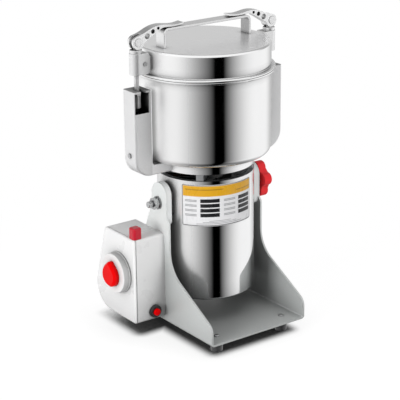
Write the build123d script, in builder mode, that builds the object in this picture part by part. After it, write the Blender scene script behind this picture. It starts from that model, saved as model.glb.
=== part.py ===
from build123d import *

import os
from math import cos, radians, sin

os.makedirs("parts", exist_ok=True)

# A swing-type electric grain mill. A bent sheet base carries the head between two cheeks:
# a motor can below, a grinding bowl above, and one pivot across them both, so that the
# head tips forward to empty the bowl. The lid is held by two cam levers, and a control
# box with the timer hangs on the left cheek.
#
# Millimetres, +Z up. The feet stand on Z = 0, the origin is the middle of the footprint,
# -Y is the front and -X the side with the control box.

# ---------------------------------------------------------------- driving dimensions
# the mill's upright axis, seen from the middle of the footprint
MILL_X = 12.15
MILL_Y = 11.5

# base: one sheet bent into a U, on four feet
SHEET = 2.5
CHEEK_X = 73.0
BASE_FRONT = -110.0
BASE_BACK = 78.0
PLATE_Z = 16.5
BEND_R = 4.0
FRONT_EDGE_Z = 41.5
NECK_Y = -22.5
NECK_Z = 90.0
SHOULDER_Z = 153.0
PIVOT_Z = 173.0
LOBE_Y = -2.0
LOBE_Z = 184.0
LOBE_R = 15.5
PAD_BOTTOM = 146.0
PAD_IN = 63.9
FOOT_X = 51.0
FOOT_FRONT = -90.0
FOOT_REAR = 58.0
FOOT_R = 8.0

# motor can and the neck above it
CAN_R = 61.0
CAN_WALL = 1.2
CAN_BOTTOM = 49.0
CAN_TOP = 205.4
NECK_BOTTOM = 214.0
BOWL_BOTTOM = 227.5

# bowl and lid, both deep drawn, with a rolled flange where they meet
BOWL_R = 82.0
BOWL_WALL = 1.5
BOWL_FLOOR = 2.5
FLANGE_R = 87.0
FLANGE = 2.7
BOWL_TOP = 335.2
LID_BOTTOM = 335.6
LID_TOP = 367.7
GASKET_R = 79.8

# handle: a bent flat strap
STRAP = 3.0
STRAP_WIDTH = 17.5
HANDLE_X = 65.5
HANDLE_TOP = 391.6

# latches: a rod on each side, pulled up by a cam lever
ROD_X = 100.5
ROD_R = 3.0
SLEEVE_R = 8.0
SLEEVE_BOTTOM = 340.5
SLEEVE_TOP = 366.0
SEAT_TOP = 370.5
PIN_Z = 379.5
CAM_R = 7.5
CAM_THROW = 1.5
CAM_ANGLE = 70.0
LEVER_WIDTH = 12.0
EYE_WIDTH = 6.0

# side arms under and beside the bowl
ARM_IN = 88.0
ARM_OUT = 112.5
ARM_HALF = 12.4
ARM_BOTTOM = 214.3
ARM_TOP = 321.8
ARM_WALL = 2.5

# pivots
BOLT_R = 4.0
STUD_R = 4.0
BOSS_R = 10.0
BOSS_X = CHEEK_X - SHEET - 0.1

# control box on the left cheek
BOX_OUT = 118.5
BOX_WALL = 2.2
BOX_FRONT = -12.0
BOX_BACK = 54.0
BOX_TOP = 136.0
BOX_BOTTOM = 24.5
BACK_SLOPE = 0.305
DIAL_Y = 21.0
DIAL_Z = 85.7
DIAL_R = 26.5
LAMP_X = -111.0
LAMP_Y = -4.8
RESET_X = -89.5
RESET_Z = 36.0

# running fits
RUN = 0.05


# ---------------------------------------------------------------- planes and placing
def level(z):
    """A level plane at height z, centred on the mill's axis and drawn in (X, Y)."""
    return Plane((MILL_X, MILL_Y, z))


def across(y):
    """An upright plane across the mill at depth y, drawn in (X, Z) and facing the front."""
    return Plane(origin=(MILL_X, MILL_Y + y, 0), x_dir=(1, 0, 0), z_dir=(0, -1, 0))


def along(x):
    """An upright plane along the mill at width x, drawn in (Y, Z) and facing +X."""
    return Plane(origin=(MILL_X + x, MILL_Y, 0), x_dir=(0, 1, 0), z_dir=(1, 0, 0))


def at_pin(y):
    """An upright plane like across(y), with its origin on the left lever's pin."""
    return Plane(origin=(MILL_X - ROD_X, MILL_Y + y, PIN_Z), x_dir=(1, 0, 0), z_dir=(0, -1, 0))


MILL_AXIS = Axis((MILL_X, MILL_Y, 0), (0, 0, 1))


def other_side(shape):
    """The same shape on the other side of the mill, half a turn round its axis."""
    return shape.rotate(MILL_AXIS, 180)


# ================================================================ base
# The cheeks' outline: a low nose in front, a slender neck with a small shoulder, and a round
# top behind which the straight back edge leans away.
LOBE_FRONT = LOBE_Y - LOBE_R
LOBE_BACK = LOBE_Y + LOBE_R
BACK_LEAN = (BASE_BACK - LOBE_BACK) / (170.5 - PLATE_Z)


def back_edge(z):
    """Depth of the cheeks' straight back edge at height z."""
    return BASE_BACK - BACK_LEAN * (z - PLATE_Z)


with BuildPart() as base_bracket:
    with BuildSketch(across(BASE_BACK)):
        with BuildLine():
            FilletPolyline(
                (-CHEEK_X, 230),
                (-CHEEK_X, PLATE_Z),
                (CHEEK_X, PLATE_Z),
                (CHEEK_X, 230),
                radius=[0, BEND_R, BEND_R, 0],
                close=True,
            )
        make_face()
        with BuildLine():
            FilletPolyline(
                (-CHEEK_X + SHEET, 231),
                (-CHEEK_X + SHEET, PLATE_Z + SHEET),
                (CHEEK_X - SHEET, PLATE_Z + SHEET),
                (CHEEK_X - SHEET, 231),
                radius=[0, BEND_R - SHEET, BEND_R - SHEET, 0],
                close=True,
            )
        make_face(mode=Mode.SUBTRACT)
    extrude(amount=BASE_BACK - BASE_FRONT)
    with BuildSketch(along(-CHEEK_X - 1)):
        with BuildLine():
            FilletPolyline(
                (BASE_FRONT, PLATE_Z - 1),
                (BASE_FRONT, FRONT_EDGE_Z),
                (NECK_Y, NECK_Z),
                (NECK_Y, SHOULDER_Z - 3),
                (LOBE_FRONT, SHOULDER_Z + 3),
                (LOBE_FRONT, LOBE_Z),
                (LOBE_BACK, LOBE_Z),
                (LOBE_BACK, 170.5),
                (back_edge(PLATE_Z - 1), PLATE_Z - 1),
                radius=[0, 14, 40, 4, 4, 0, 0, 12, 0],
                close=True,
            )
        make_face()
        with Locations((LOBE_Y, LOBE_Z)):
            Circle(LOBE_R)
    extrude(amount=2 * CHEEK_X + 2, mode=Mode.INTERSECT)
    with BuildSketch(along(-CHEEK_X - 1)):
        with Locations((0, PIVOT_Z)):
            Circle(BOLT_R + RUN)
        with Locations((40, 95)):
            Circle(7)
    extrude(amount=SHEET + 2, mode=Mode.SUBTRACT)
    with BuildSketch(along(CHEEK_X + 1)):
        with Locations((0, PIVOT_Z)):
            Circle(STUD_R + RUN)
    extrude(amount=-SHEET - 2, mode=Mode.SUBTRACT)
    with BuildSketch(level(PLATE_Z - 1)):
        with Locations((0, (FOOT_FRONT + FOOT_REAR) / 2)):
            with GridLocations(2 * FOOT_X, FOOT_REAR - FOOT_FRONT, 2, 2):
                Circle(2.0 + RUN)
    extrude(amount=SHEET + 2, mode=Mode.SUBTRACT)
base_bracket.part.label = "base_bracket"
export_step(base_bracket.part, "parts/base_bracket.step")

# A thick pad behind each cheek's top stiffens it. The boss turns in the pad's round hole.
for name, side in (("left_cheek_pad", -1), ("right_cheek_pad", 1)):
    with BuildPart() as pad:
        with BuildSketch(along(side * (CHEEK_X - SHEET))) as outline:
            with BuildLine():
                FilletPolyline(
                    (LOBE_FRONT, PAD_BOTTOM),
                    (LOBE_FRONT, LOBE_Z),
                    (LOBE_BACK, LOBE_Z),
                    (LOBE_BACK, PAD_BOTTOM),
                    radius=[6, 0, 0, 6],
                    close=True,
                )
            make_face()
            with Locations((LOBE_Y, LOBE_Z)):
                Circle(LOBE_R)
            with Locations((0, PIVOT_Z)):
                Circle(BOSS_R + 0.4, mode=Mode.SUBTRACT)
        extrude(amount=-side * (CHEEK_X - SHEET - PAD_IN))
        inner = pad.faces().sort_by(Axis.X)[0 if side > 0 else -1]
        fillet(inner.outer_wire().edges(), radius=1.5)
    pad.part.label = name
    export_step(pad.part, f"parts/{name}.step")

# Four rubber feet, each with a blind hole for the screw that comes down through the plate.
FEET = {
    "foot_front_left": (-FOOT_X, FOOT_FRONT),
    "foot_front_right": (FOOT_X, FOOT_FRONT),
    "foot_rear_left": (-FOOT_X, FOOT_REAR),
    "foot_rear_right": (FOOT_X, FOOT_REAR),
}
for name, place in FEET.items():
    with BuildPart() as foot:
        with BuildSketch(level(PLATE_Z)):
            with Locations(place):
                Circle(FOOT_R)
        extrude(amount=-PLATE_Z, taper=2)
        fillet(foot.edges().group_by(Axis.Z)[0], radius=1.2)
        with BuildSketch(level(PLATE_Z)):
            with Locations(place):
                Circle(2.0 + RUN)
        extrude(amount=-12, mode=Mode.SUBTRACT)
    foot.part.label = name
    export_step(foot.part, f"parts/{name}.step")

with BuildPart() as foot_screws:
    with BuildSketch(level(PLATE_Z + SHEET)):
        with Locations(*FEET.values()):
            Circle(3.2)
    extrude(amount=1.8)
    fillet(foot_screws.edges().group_by(Axis.Z)[-1], radius=0.9)
    with BuildSketch(level(PLATE_Z + SHEET + 1.8)):
        with Locations(*FEET.values()):
            Rectangle(3.6, 0.8)
            Rectangle(0.8, 3.6)
    extrude(amount=-1.0, mode=Mode.SUBTRACT)
    with BuildSketch(level(PLATE_Z + SHEET)):
        with Locations(*FEET.values()):
            Circle(2.0)
    extrude(amount=-SHEET - 10)
foot_screws.part.label = "foot_screws"
export_step(foot_screws.part, "parts/foot_screws.step")

# ================================================================ control box
# A pressed cover with a leaning back and one large rounded corner, open towards the cheek.
# A fine groove runs round it where the outer plate meets the walls.
SEAM_X = BOX_OUT - 2.7
SEAM_DEPTH = 0.9
SEAM_WIDTH = 0.9
def box_back(z):
    """Depth of the box's leaning back wall at height z."""
    return BOX_BACK + BACK_SLOPE * (BOX_TOP - z)


# the plane of the leaning back wall, where the lead goes in
GLAND_X = -95.0
GLAND_Z = 88.0
gland_plane = Plane(
    origin=(MILL_X + GLAND_X, MILL_Y + box_back(GLAND_Z), GLAND_Z),
    x_dir=(1, 0, 0),
    z_dir=(0, 1, BACK_SLOPE),
)

with BuildPart() as control_box:
    with BuildSketch(along(-CHEEK_X)):
        with BuildLine():
            FilletPolyline(
                (BOX_FRONT, BOX_TOP),
                (BOX_FRONT, BOX_BOTTOM),
                (box_back(BOX_BOTTOM), BOX_BOTTOM),
                (BOX_BACK, BOX_TOP),
                radius=[3, 3, 31, 4],
                close=True,
            )
        make_face()
    extrude(amount=-(BOX_OUT - CHEEK_X))
    fillet(control_box.faces().sort_by(Axis.X)[0].edges(), radius=2.6)
    offset(amount=-BOX_WALL, openings=control_box.faces().sort_by(Axis.X)[-1])
    with BuildSketch(along(-SEAM_X)):
        with BuildLine():
            FilletPolyline(
                (BOX_FRONT, BOX_TOP),
                (BOX_FRONT, BOX_BOTTOM),
                (box_back(BOX_BOTTOM), BOX_BOTTOM),
                (BOX_BACK, BOX_TOP),
                radius=[3, 3, 31, 4],
                close=True,
            )
        make_face()
        offset(amount=-SEAM_DEPTH, mode=Mode.SUBTRACT)
    extrude(amount=SEAM_WIDTH, mode=Mode.SUBTRACT)
    with BuildSketch(along(-BOX_OUT - 1)):
        with Locations((DIAL_Y, DIAL_Z)):
            Circle(5.0)
    extrude(amount=BOX_WALL + 2, mode=Mode.SUBTRACT)
    with BuildSketch(level(BOX_TOP + 1)):
        with Locations((LAMP_X, LAMP_Y)):
            Circle(3.5)
    extrude(amount=-BOX_WALL - 2, mode=Mode.SUBTRACT)
    with BuildSketch(across(BOX_FRONT - 1)):
        with Locations((RESET_X, RESET_Z)):
            Circle(5.6)
    extrude(amount=-BOX_WALL - 2, mode=Mode.SUBTRACT)
    with BuildSketch(gland_plane.offset(1)):
        Circle(5.5)
    extrude(amount=-BOX_WALL - 3, mode=Mode.SUBTRACT)
control_box.part.label = "control_box"
export_step(control_box.part, "parts/control_box.step")

# Clockwork timer behind the outer wall, on a threaded bush.
TIMER_FACE = BOX_OUT - BOX_WALL
with BuildPart() as timer_body:
    with BuildSketch(along(-TIMER_FACE)):
        with Locations((DIAL_Y, DIAL_Z)):
            RectangleRounded(42, 42, 5)
    extrude(amount=4)
    with BuildSketch(along(-TIMER_FACE + 4)):
        with Locations((DIAL_Y, DIAL_Z)):
            Circle(19)
    extrude(amount=20)
    with BuildSketch(along(-TIMER_FACE)):
        with Locations((DIAL_Y, DIAL_Z)):
            Circle(4.9)
    extrude(amount=-4)
    with BuildSketch(along(-TIMER_FACE - 5)):
        with Locations((DIAL_Y, DIAL_Z)):
            Circle(3.0 + RUN)
    extrude(amount=27, mode=Mode.SUBTRACT)
timer_body.part.label = "timer_body"
export_step(timer_body.part, "parts/timer_body.step")

with BuildPart() as timer_bezel:
    with BuildSketch(along(-BOX_OUT)):
        with Locations((DIAL_Y, DIAL_Z)):
            Circle(DIAL_R)
            Circle(5.1, mode=Mode.SUBTRACT)
    extrude(amount=-2.8)
    fillet(timer_bezel.edges().group_by(Axis.X)[0].sort_by(SortBy.RADIUS)[-1], radius=1.2)
timer_bezel.part.label = "timer_bezel"
export_step(timer_bezel.part, "parts/timer_bezel.step")

SKIRT_BACK = BOX_OUT + 3.0
SKIRT_FACE = SKIRT_BACK + 7.8
POINTER_FACE = 136.6
with BuildPart() as timer_knob:
    with BuildSketch(along(-SKIRT_BACK)):
        with Locations((DIAL_Y, DIAL_Z)):
            Circle(DIAL_R - 0.6)
    extrude(amount=-(SKIRT_FACE - SKIRT_BACK), taper=3)
    fillet(timer_knob.edges().group_by(Axis.X)[0], radius=1.4)
    with BuildSketch(along(-SKIRT_BACK)):
        with Locations((DIAL_Y, DIAL_Z)):
            Circle(3.0)
    extrude(amount=-6, mode=Mode.SUBTRACT)
timer_knob.part.label = "timer_knob"
export_step(timer_knob.part, "parts/timer_knob.step")

# The bevelled grip stands on the skirt, round below and narrow where it points to the scale.
with BuildPart() as knob_pointer:
    with BuildSketch(along(-SKIRT_FACE)):
        with Locations((DIAL_Y, DIAL_Z - 1.4)):
            Circle(15.0)
        with Locations((DIAL_Y, DIAL_Z + 11)):
            Circle(5.5)
        make_hull()
    extrude(amount=-(POINTER_FACE - SKIRT_FACE), taper=4)
    chamfer(knob_pointer.edges().group_by(Axis.X)[0], length=2.4)
knob_pointer.part.label = "knob_pointer"
export_step(knob_pointer.part, "parts/knob_pointer.step")

with BuildPart() as timer_shaft:
    with BuildSketch(along(-SKIRT_BACK - 6)):
        with Locations((DIAL_Y, DIAL_Z)):
            Circle(3.0)
    extrude(amount=30)
timer_shaft.part.label = "timer_shaft"
export_step(timer_shaft.part, "parts/timer_shaft.step")

# Power lamp on top of the box: a square lens with rounded corners on a snap-in holder.
with BuildPart() as lamp_lens:
    with BuildSketch(level(BOX_TOP)):
        with Locations((LAMP_X, LAMP_Y)):
            RectangleRounded(12.6, 12.6, 3.4)
    extrude(amount=14.3)
    fillet(lamp_lens.faces().sort_by(Axis.Z)[-1].edges(), radius=2.0)
lamp_lens.part.label = "lamp_lens"
export_step(lamp_lens.part, "parts/lamp_lens.step")

with BuildPart() as lamp_holder:
    with BuildSketch(level(BOX_TOP)):
        with Locations((LAMP_X, LAMP_Y)):
            Circle(3.4)
    extrude(amount=-20)
    with BuildSketch(level(BOX_TOP - BOX_WALL)):
        with Locations((LAMP_X + 1.0, LAMP_Y + 1.0)):
            Circle(4.3)
    extrude(amount=-4)
lamp_holder.part.label = "lamp_holder"
export_step(lamp_holder.part, "parts/lamp_holder.step")

# Overload breaker low on the front wall, with a button that pops out.
BREAKER_COLLAR = 4.2
with BuildPart() as breaker_body:
    with BuildSketch(across(BOX_FRONT)):
        with Locations((RESET_X, RESET_Z)):
            Circle(8.2)
    extrude(amount=BREAKER_COLLAR)
    fillet(breaker_body.edges().group_by(Axis.Y)[0], radius=1.2)
    with BuildSketch(across(BOX_FRONT)):
        with Locations((RESET_X, RESET_Z)):
            Circle(5.5)
    extrude(amount=-BOX_WALL)
    with BuildSketch(across(BOX_FRONT + BOX_WALL)):
        with Locations((RESET_X, RESET_Z)):
            RectangleRounded(15, 17, 1.5)
    extrude(amount=-24)
    with BuildSketch(across(BOX_FRONT - BREAKER_COLLAR - 1)):
        with Locations((RESET_X, RESET_Z)):
            Circle(4.4 + RUN)
    extrude(amount=-BREAKER_COLLAR - 9, mode=Mode.SUBTRACT)
breaker_body.part.label = "breaker_body"
export_step(breaker_body.part, "parts/breaker_body.step")

with BuildPart() as reset_button:
    with BuildSketch(across(BOX_FRONT + 4)):
        with Locations((RESET_X, RESET_Z)):
            Circle(4.4)
    extrude(amount=4 + BREAKER_COLLAR + 3)
    fillet(reset_button.edges().group_by(Axis.Y)[0], radius=0.9)
reset_button.part.label = "reset_button"
export_step(reset_button.part, "parts/reset_button.step")

with BuildPart() as cord_gland:
    with BuildSketch(gland_plane):
        Circle(9)
    extrude(amount=2)
    with BuildSketch(gland_plane.offset(2)):
        Circle(6.6)
    extrude(amount=7, taper=8)
    with BuildSketch(gland_plane):
        Circle(5.4)
    extrude(amount=-BOX_WALL - 5)
    with BuildSketch(gland_plane.offset(10)):
        Circle(3.6)
    extrude(amount=-18, mode=Mode.SUBTRACT)
cord_gland.part.label = "cord_gland"
export_step(cord_gland.part, "parts/cord_gland.step")

# ================================================================ pivots
# Each boss has a saddle that lies on the can. The left one takes the fixed bolt and the
# right one the stud of the clamp knob.
with BuildPart() as right_pivot_boss:
    with BuildSketch(along(BOSS_X)):
        with Locations((0, PIVOT_Z)):
            RectangleRounded(30, 36, 8)
    extrude(amount=-25)
    with BuildSketch(level(PIVOT_Z - 30)):
        Circle(CAN_R + 2.5)
    extrude(amount=60, mode=Mode.INTERSECT)
    with BuildSketch(along(BOSS_X)):
        with Locations((0, PIVOT_Z)):
            Circle(BOSS_R)
    extrude(amount=-15)
    with BuildSketch(level(PIVOT_Z - 30)):
        Circle(CAN_R)
    extrude(amount=60, mode=Mode.SUBTRACT)
    with BuildSketch(along(BOSS_X + 1)):
        with Locations((0, PIVOT_Z)):
            Circle(STUD_R)
    extrude(amount=-20, mode=Mode.SUBTRACT)
right_pivot_boss.part.label = "right_pivot_boss"
export_step(right_pivot_boss.part, "parts/right_pivot_boss.step")

with BuildPart() as left_pivot_boss:
    add(other_side(right_pivot_boss.part))
    with BuildSketch(along(-BOSS_X - 1)):
        with Locations((0, PIVOT_Z)):
            Circle(BOLT_R)
    extrude(amount=20, mode=Mode.SUBTRACT)
left_pivot_boss.part.label = "left_pivot_boss"
export_step(left_pivot_boss.part, "parts/left_pivot_boss.step")

with BuildPart() as pivot_bolt:
    with BuildSketch(along(-CAN_R - 0.3)):
        with Locations((0, PIVOT_Z)):
            Circle(BOLT_R)
    extrude(amount=-(88.5 - CAN_R - 0.3))
    chamfer(pivot_bolt.edges().group_by(Axis.X)[0], length=0.8)
pivot_bolt.part.label = "pivot_bolt"
export_step(pivot_bolt.part, "parts/pivot_bolt.step")

with BuildPart() as pivot_nut:
    with BuildSketch(along(-CHEEK_X - 0.1)):
        with Locations((0, PIVOT_Z)):
            Circle(8.4)
    extrude(amount=-1.6)
    with BuildSketch(along(-CHEEK_X - 1.7)):
        with Locations((0, PIVOT_Z)):
            RegularPolygon(radius=6.5, side_count=6, major_radius=False)
    extrude(amount=-7)
    with BuildSketch(along(-CHEEK_X)):
        with Locations((0, PIVOT_Z)):
            Circle(BOLT_R)
    extrude(amount=-10, mode=Mode.SUBTRACT)
pivot_nut.part.label = "pivot_nut"
export_step(pivot_nut.part, "parts/pivot_nut.step")

with BuildPart() as clamp_stud:
    with BuildSketch(along(CAN_R + 0.3)):
        with Locations((0, PIVOT_Z)):
            Circle(STUD_R)
    extrude(amount=86.0 - CAN_R - 0.3)
clamp_stud.part.label = "clamp_stud"
export_step(clamp_stud.part, "parts/clamp_stud.step")

WASHER = 2.0
with BuildPart() as clamp_washer:
    with BuildSketch(along(CHEEK_X + RUN)):
        with Locations((0, PIVOT_Z)):
            Circle(11)
            Circle(STUD_R + RUN, mode=Mode.SUBTRACT)
    extrude(amount=WASHER)
clamp_washer.part.label = "clamp_washer"
export_step(clamp_washer.part, "parts/clamp_washer.step")

# Five-lobed knob: round lobes about the hub, the valleys between them softened.
KNOB_BACK = CHEEK_X + RUN + WASHER + 0.02
LOBE_TILT = 98.0
with BuildPart() as star_knob:
    with BuildSketch(along(KNOB_BACK + 2.4)) as star:
        with Locations((0, PIVOT_Z)):
            Circle(18.4)
            with PolarLocations(radius=15.4, count=5, start_angle=LOBE_TILT):
                Circle(8.4)
        fillet(star.vertices(), radius=3)
    extrude(amount=12.4)
    fillet(star_knob.faces().sort_by(Axis.X)[-1].edges(), radius=2.2)
    with BuildSketch(along(KNOB_BACK)):
        with Locations((0, PIVOT_Z)):
            Circle(9.5)
    extrude(amount=2.4)
    with BuildSketch(along(KNOB_BACK - 1)):
        with Locations((0, PIVOT_Z)):
            Circle(STUD_R + RUN)
    extrude(amount=13, mode=Mode.SUBTRACT)
star_knob.part.label = "star_knob"
export_step(star_knob.part, "parts/star_knob.step")

# ================================================================ motor
CAN_IN = CAN_R - CAN_WALL
with BuildPart() as motor_can:
    with BuildSketch(across(0)):
        with BuildLine():
            FilletPolyline(
                (CAN_IN - 4, CAN_BOTTOM),
                (CAN_R, CAN_BOTTOM),
                (CAN_R, CAN_TOP),
                (CAN_IN, CAN_TOP),
                (CAN_IN, CAN_BOTTOM + CAN_WALL),
                (CAN_IN - 4, CAN_BOTTOM + CAN_WALL),
                radius=[0, 2.4, 0, 0, 1.2, 0],
                close=True,
            )
        make_face()
    revolve(axis=MILL_AXIS)
motor_can.part.label = "motor_can"
export_step(motor_can.part, "parts/motor_can.step")

# The lower end cover closes the can and holds the lower bearing. Air leaves by its slots.
COVER_Z = CAN_BOTTOM + CAN_WALL
LOWER_BEARING_Z = 57.0
with BuildPart() as bottom_cover:
    with BuildSketch(level(COVER_Z)):
        Circle(CAN_IN - 1.3)
        with PolarLocations(radius=34, count=16):
            SlotOverall(24, 5, mode=Mode.SUBTRACT)
    extrude(amount=3)
    with BuildSketch(level(COVER_Z + 3)):
        Circle(CAN_IN - 1.3)
        Circle(CAN_IN - 4, mode=Mode.SUBTRACT)
    extrude(amount=5)
    with BuildSketch(level(COVER_Z)):
        Circle(19)
    extrude(amount=LOWER_BEARING_Z + 9 - COVER_Z)
    with BuildSketch(level(LOWER_BEARING_Z)):
        Circle(15)
    extrude(amount=10, mode=Mode.SUBTRACT)
bottom_cover.part.label = "bottom_cover"
export_step(bottom_cover.part, "parts/bottom_cover.step")

with BuildPart() as lower_bearing:
    with BuildSketch(level(LOWER_BEARING_Z)):
        Circle(15)
        Circle(5, mode=Mode.SUBTRACT)
    extrude(amount=9)
lower_bearing.part.label = "lower_bearing"
export_step(lower_bearing.part, "parts/lower_bearing.step")

# Upper end casting: a spigot in the can, four ribs across the air gap, and the platform
# that carries the bowl, with the upper bearing in its middle.
RIB_WIDTH = 9.0
RIB_TURN = 47.0
UPPER_BEARING_Z = 214.0
with BuildPart() as upper_frame:
    with BuildSketch(level(CAN_TOP - 12)):
        Circle(CAN_IN)
        Circle(CAN_IN - 5, mode=Mode.SUBTRACT)
    extrude(amount=12)
    with BuildSketch(level(CAN_TOP - 8)) as ribs:
        with PolarLocations(radius=37, count=4, start_angle=RIB_TURN):
            Rectangle(48, RIB_WIDTH)
        Circle(CAN_IN, mode=Mode.INTERSECT)
        Circle(17, mode=Mode.SUBTRACT)
    extrude(amount=NECK_BOTTOM - CAN_TOP + 8)
    with BuildSketch(level(NECK_BOTTOM)):
        Circle(CAN_IN)
    extrude(amount=BOWL_BOTTOM - NECK_BOTTOM)
    with BuildSketch(level(UPPER_BEARING_Z - 4)):
        Circle(20)
    extrude(amount=6)
    with BuildSketch(level(UPPER_BEARING_Z)):
        Circle(16)
    extrude(amount=BOWL_BOTTOM - UPPER_BEARING_Z, mode=Mode.SUBTRACT)
    with BuildSketch(level(UPPER_BEARING_Z - 5)):
        Circle(9)
    extrude(amount=6, mode=Mode.SUBTRACT)
upper_frame.part.label = "upper_frame"
export_step(upper_frame.part, "parts/upper_frame.step")

with BuildPart() as upper_bearing:
    with BuildSketch(level(UPPER_BEARING_Z)):
        Circle(16)
        Circle(6, mode=Mode.SUBTRACT)
    extrude(amount=10)
upper_bearing.part.label = "upper_bearing"
export_step(upper_bearing.part, "parts/upper_bearing.step")

with BuildPart() as neck_ring:
    with BuildSketch(level(NECK_BOTTOM)):
        Circle(CAN_R)
        Circle(CAN_IN, mode=Mode.SUBTRACT)
    extrude(amount=BOWL_BOTTOM - NECK_BOTTOM)
neck_ring.part.label = "neck_ring"
export_step(neck_ring.part, "parts/neck_ring.step")

# Field stack with its two coils, held in the can by four lugs.
STACK_Z = 102.0
STACK_HEIGHT = 46.0
with BuildPart() as stator:
    with BuildSketch(level(STACK_Z)):
        Circle(47)
        with PolarLocations(radius=50, count=4, start_angle=45):
            Rectangle(22, 12)
        Circle(CAN_IN, mode=Mode.INTERSECT)
        Circle(31, mode=Mode.SUBTRACT)
    extrude(amount=STACK_HEIGHT)
    with BuildSketch(level(STACK_Z - 11)):
        Circle(44)
        Circle(33, mode=Mode.SUBTRACT)
        Rectangle(100, 26, mode=Mode.SUBTRACT)
    extrude(amount=STACK_HEIGHT + 22)
stator.part.label = "stator"
export_step(stator.part, "parts/stator.step")

COMMUTATOR_Z = 72.0
with BuildPart() as armature:
    with BuildSketch(level(STACK_Z)):
        Circle(30.3)
        with PolarLocations(radius=30, count=12):
            Rectangle(12, 2.6, mode=Mode.SUBTRACT)
    extrude(amount=STACK_HEIGHT)
    with BuildSketch(level(STACK_Z - 9)):
        Circle(23)
    extrude(amount=STACK_HEIGHT + 18)
    with BuildSketch(level(COMMUTATOR_Z)):
        Circle(13)
    extrude(amount=STACK_Z - COMMUTATOR_Z)
    with BuildSketch(level(COMMUTATOR_Z)):
        Circle(5)
    extrude(amount=STACK_Z + STACK_HEIGHT + 10 - COMMUTATOR_Z, mode=Mode.SUBTRACT)
armature.part.label = "armature"
export_step(armature.part, "parts/armature.step")

with BuildPart() as brush_holders:
    with BuildSketch(along(13.3)):
        with Locations((0, COMMUTATOR_Z + 8)):
            RectangleRounded(12, 9, 1.5)
    extrude(amount=CAN_IN - 1.2 - 13.3)
    with BuildSketch(along(-13.3)):
        with Locations((0, COMMUTATOR_Z + 8)):
            RectangleRounded(12, 9, 1.5)
    extrude(amount=-(CAN_IN - 1.2 - 13.3))
brush_holders.part.label = "brush_holders"
export_step(brush_holders.part, "parts/brush_holders.step")

FAN_Z = 174.0
with BuildPart() as cooling_fan:
    with BuildSketch(level(FAN_Z)):
        Circle(46)
    extrude(amount=1.6)
    with BuildSketch(level(FAN_Z)):
        with PolarLocations(radius=29, count=9):
            Rectangle(32, 1.8, rotation=18)
    extrude(amount=14)
    with BuildSketch(level(FAN_Z)):
        Circle(12)
    extrude(amount=16)
    with BuildSketch(level(FAN_Z - 1)):
        Circle(6)
    extrude(amount=18, mode=Mode.SUBTRACT)
cooling_fan.part.label = "cooling_fan"
export_step(cooling_fan.part, "parts/cooling_fan.step")

# The shaft is stepped: lower journal, armature and fan, upper journal, then the blades.
BLADE_SEAT = 240.0
LOWER_BLADE = 2.6
SPACER = 14.0
UPPER_BLADE = 2.2
with BuildPart() as rotor_shaft:
    with BuildSketch(level(LOWER_BEARING_Z + 0.5)):
        Circle(5)
    extrude(amount=STACK_Z + STACK_HEIGHT + 10 - LOWER_BEARING_Z)
    with BuildSketch(level(STACK_Z + STACK_HEIGHT + 10)):
        Circle(6)
    extrude(amount=270 - STACK_Z - STACK_HEIGHT - 10)
    with BuildSketch(level(UPPER_BEARING_Z + 10)):
        Circle(9)
    extrude(amount=BLADE_SEAT - UPPER_BEARING_Z - 10)
    chamfer(rotor_shaft.edges().group_by(Axis.Z)[-1], length=1)
rotor_shaft.part.label = "rotor_shaft"
export_step(rotor_shaft.part, "parts/rotor_shaft.step")

# ================================================================ bowl
SEAL_R = 14.0
with BuildPart() as bowl:
    with BuildSketch(across(0)):
        with BuildLine():
            FilletPolyline(
                (SEAL_R, BOWL_BOTTOM),
                (BOWL_R, BOWL_BOTTOM),
                (BOWL_R, BOWL_TOP - FLANGE),
                (FLANGE_R, BOWL_TOP - FLANGE),
                (FLANGE_R, BOWL_TOP),
                (BOWL_R - BOWL_WALL, BOWL_TOP),
                (BOWL_R - BOWL_WALL, BOWL_BOTTOM + BOWL_FLOOR),
                (SEAL_R, BOWL_BOTTOM + BOWL_FLOOR),
                radius=[0, 9, 0.8, 1.2, 0.4, 0.6, 7.5, 0],
                close=True,
            )
        make_face()
    revolve(axis=MILL_AXIS)
bowl.part.label = "bowl"
export_step(bowl.part, "parts/bowl.step")

with BuildPart() as shaft_seal:
    with BuildSketch(level(BOWL_BOTTOM)):
        Circle(SEAL_R)
        Circle(9 + RUN, mode=Mode.SUBTRACT)
    extrude(amount=BOWL_FLOOR + 2)
shaft_seal.part.label = "shaft_seal"
export_step(shaft_seal.part, "parts/shaft_seal.step")

# Long flat blade that sweeps the floor, its ends ground to an edge on opposite sides.
LOWER_REACH = 74.0
with BuildPart() as lower_blade:
    with BuildSketch(level(BLADE_SEAT)):
        with BuildLine():
            Polyline(
                (-LOWER_REACH, -9),
                (-20, -12),
                (20, -11),
                (LOWER_REACH - 4, -3),
                (LOWER_REACH, 9),
                (20, 12),
                (-20, 11),
                (-LOWER_REACH + 4, 3),
                close=True,
            )
        make_face()
        Circle(6, mode=Mode.SUBTRACT)
    extrude(amount=LOWER_BLADE)
    cutting = lower_blade.edges().group_by(Axis.Z)[-1].filter_by(GeomType.LINE).sort_by(Axis.Y)
    chamfer([cutting[0], cutting[-1]], length=1.8, length2=4)
lower_blade.part.label = "lower_blade"
export_step(lower_blade.part, "parts/lower_blade.step")

with BuildPart() as blade_spacer:
    with BuildSketch(level(BLADE_SEAT + LOWER_BLADE)):
        Circle(11)
        Circle(6, mode=Mode.SUBTRACT)
    extrude(amount=SPACER)
blade_spacer.part.label = "blade_spacer"
export_step(blade_spacer.part, "parts/blade_spacer.step")

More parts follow.
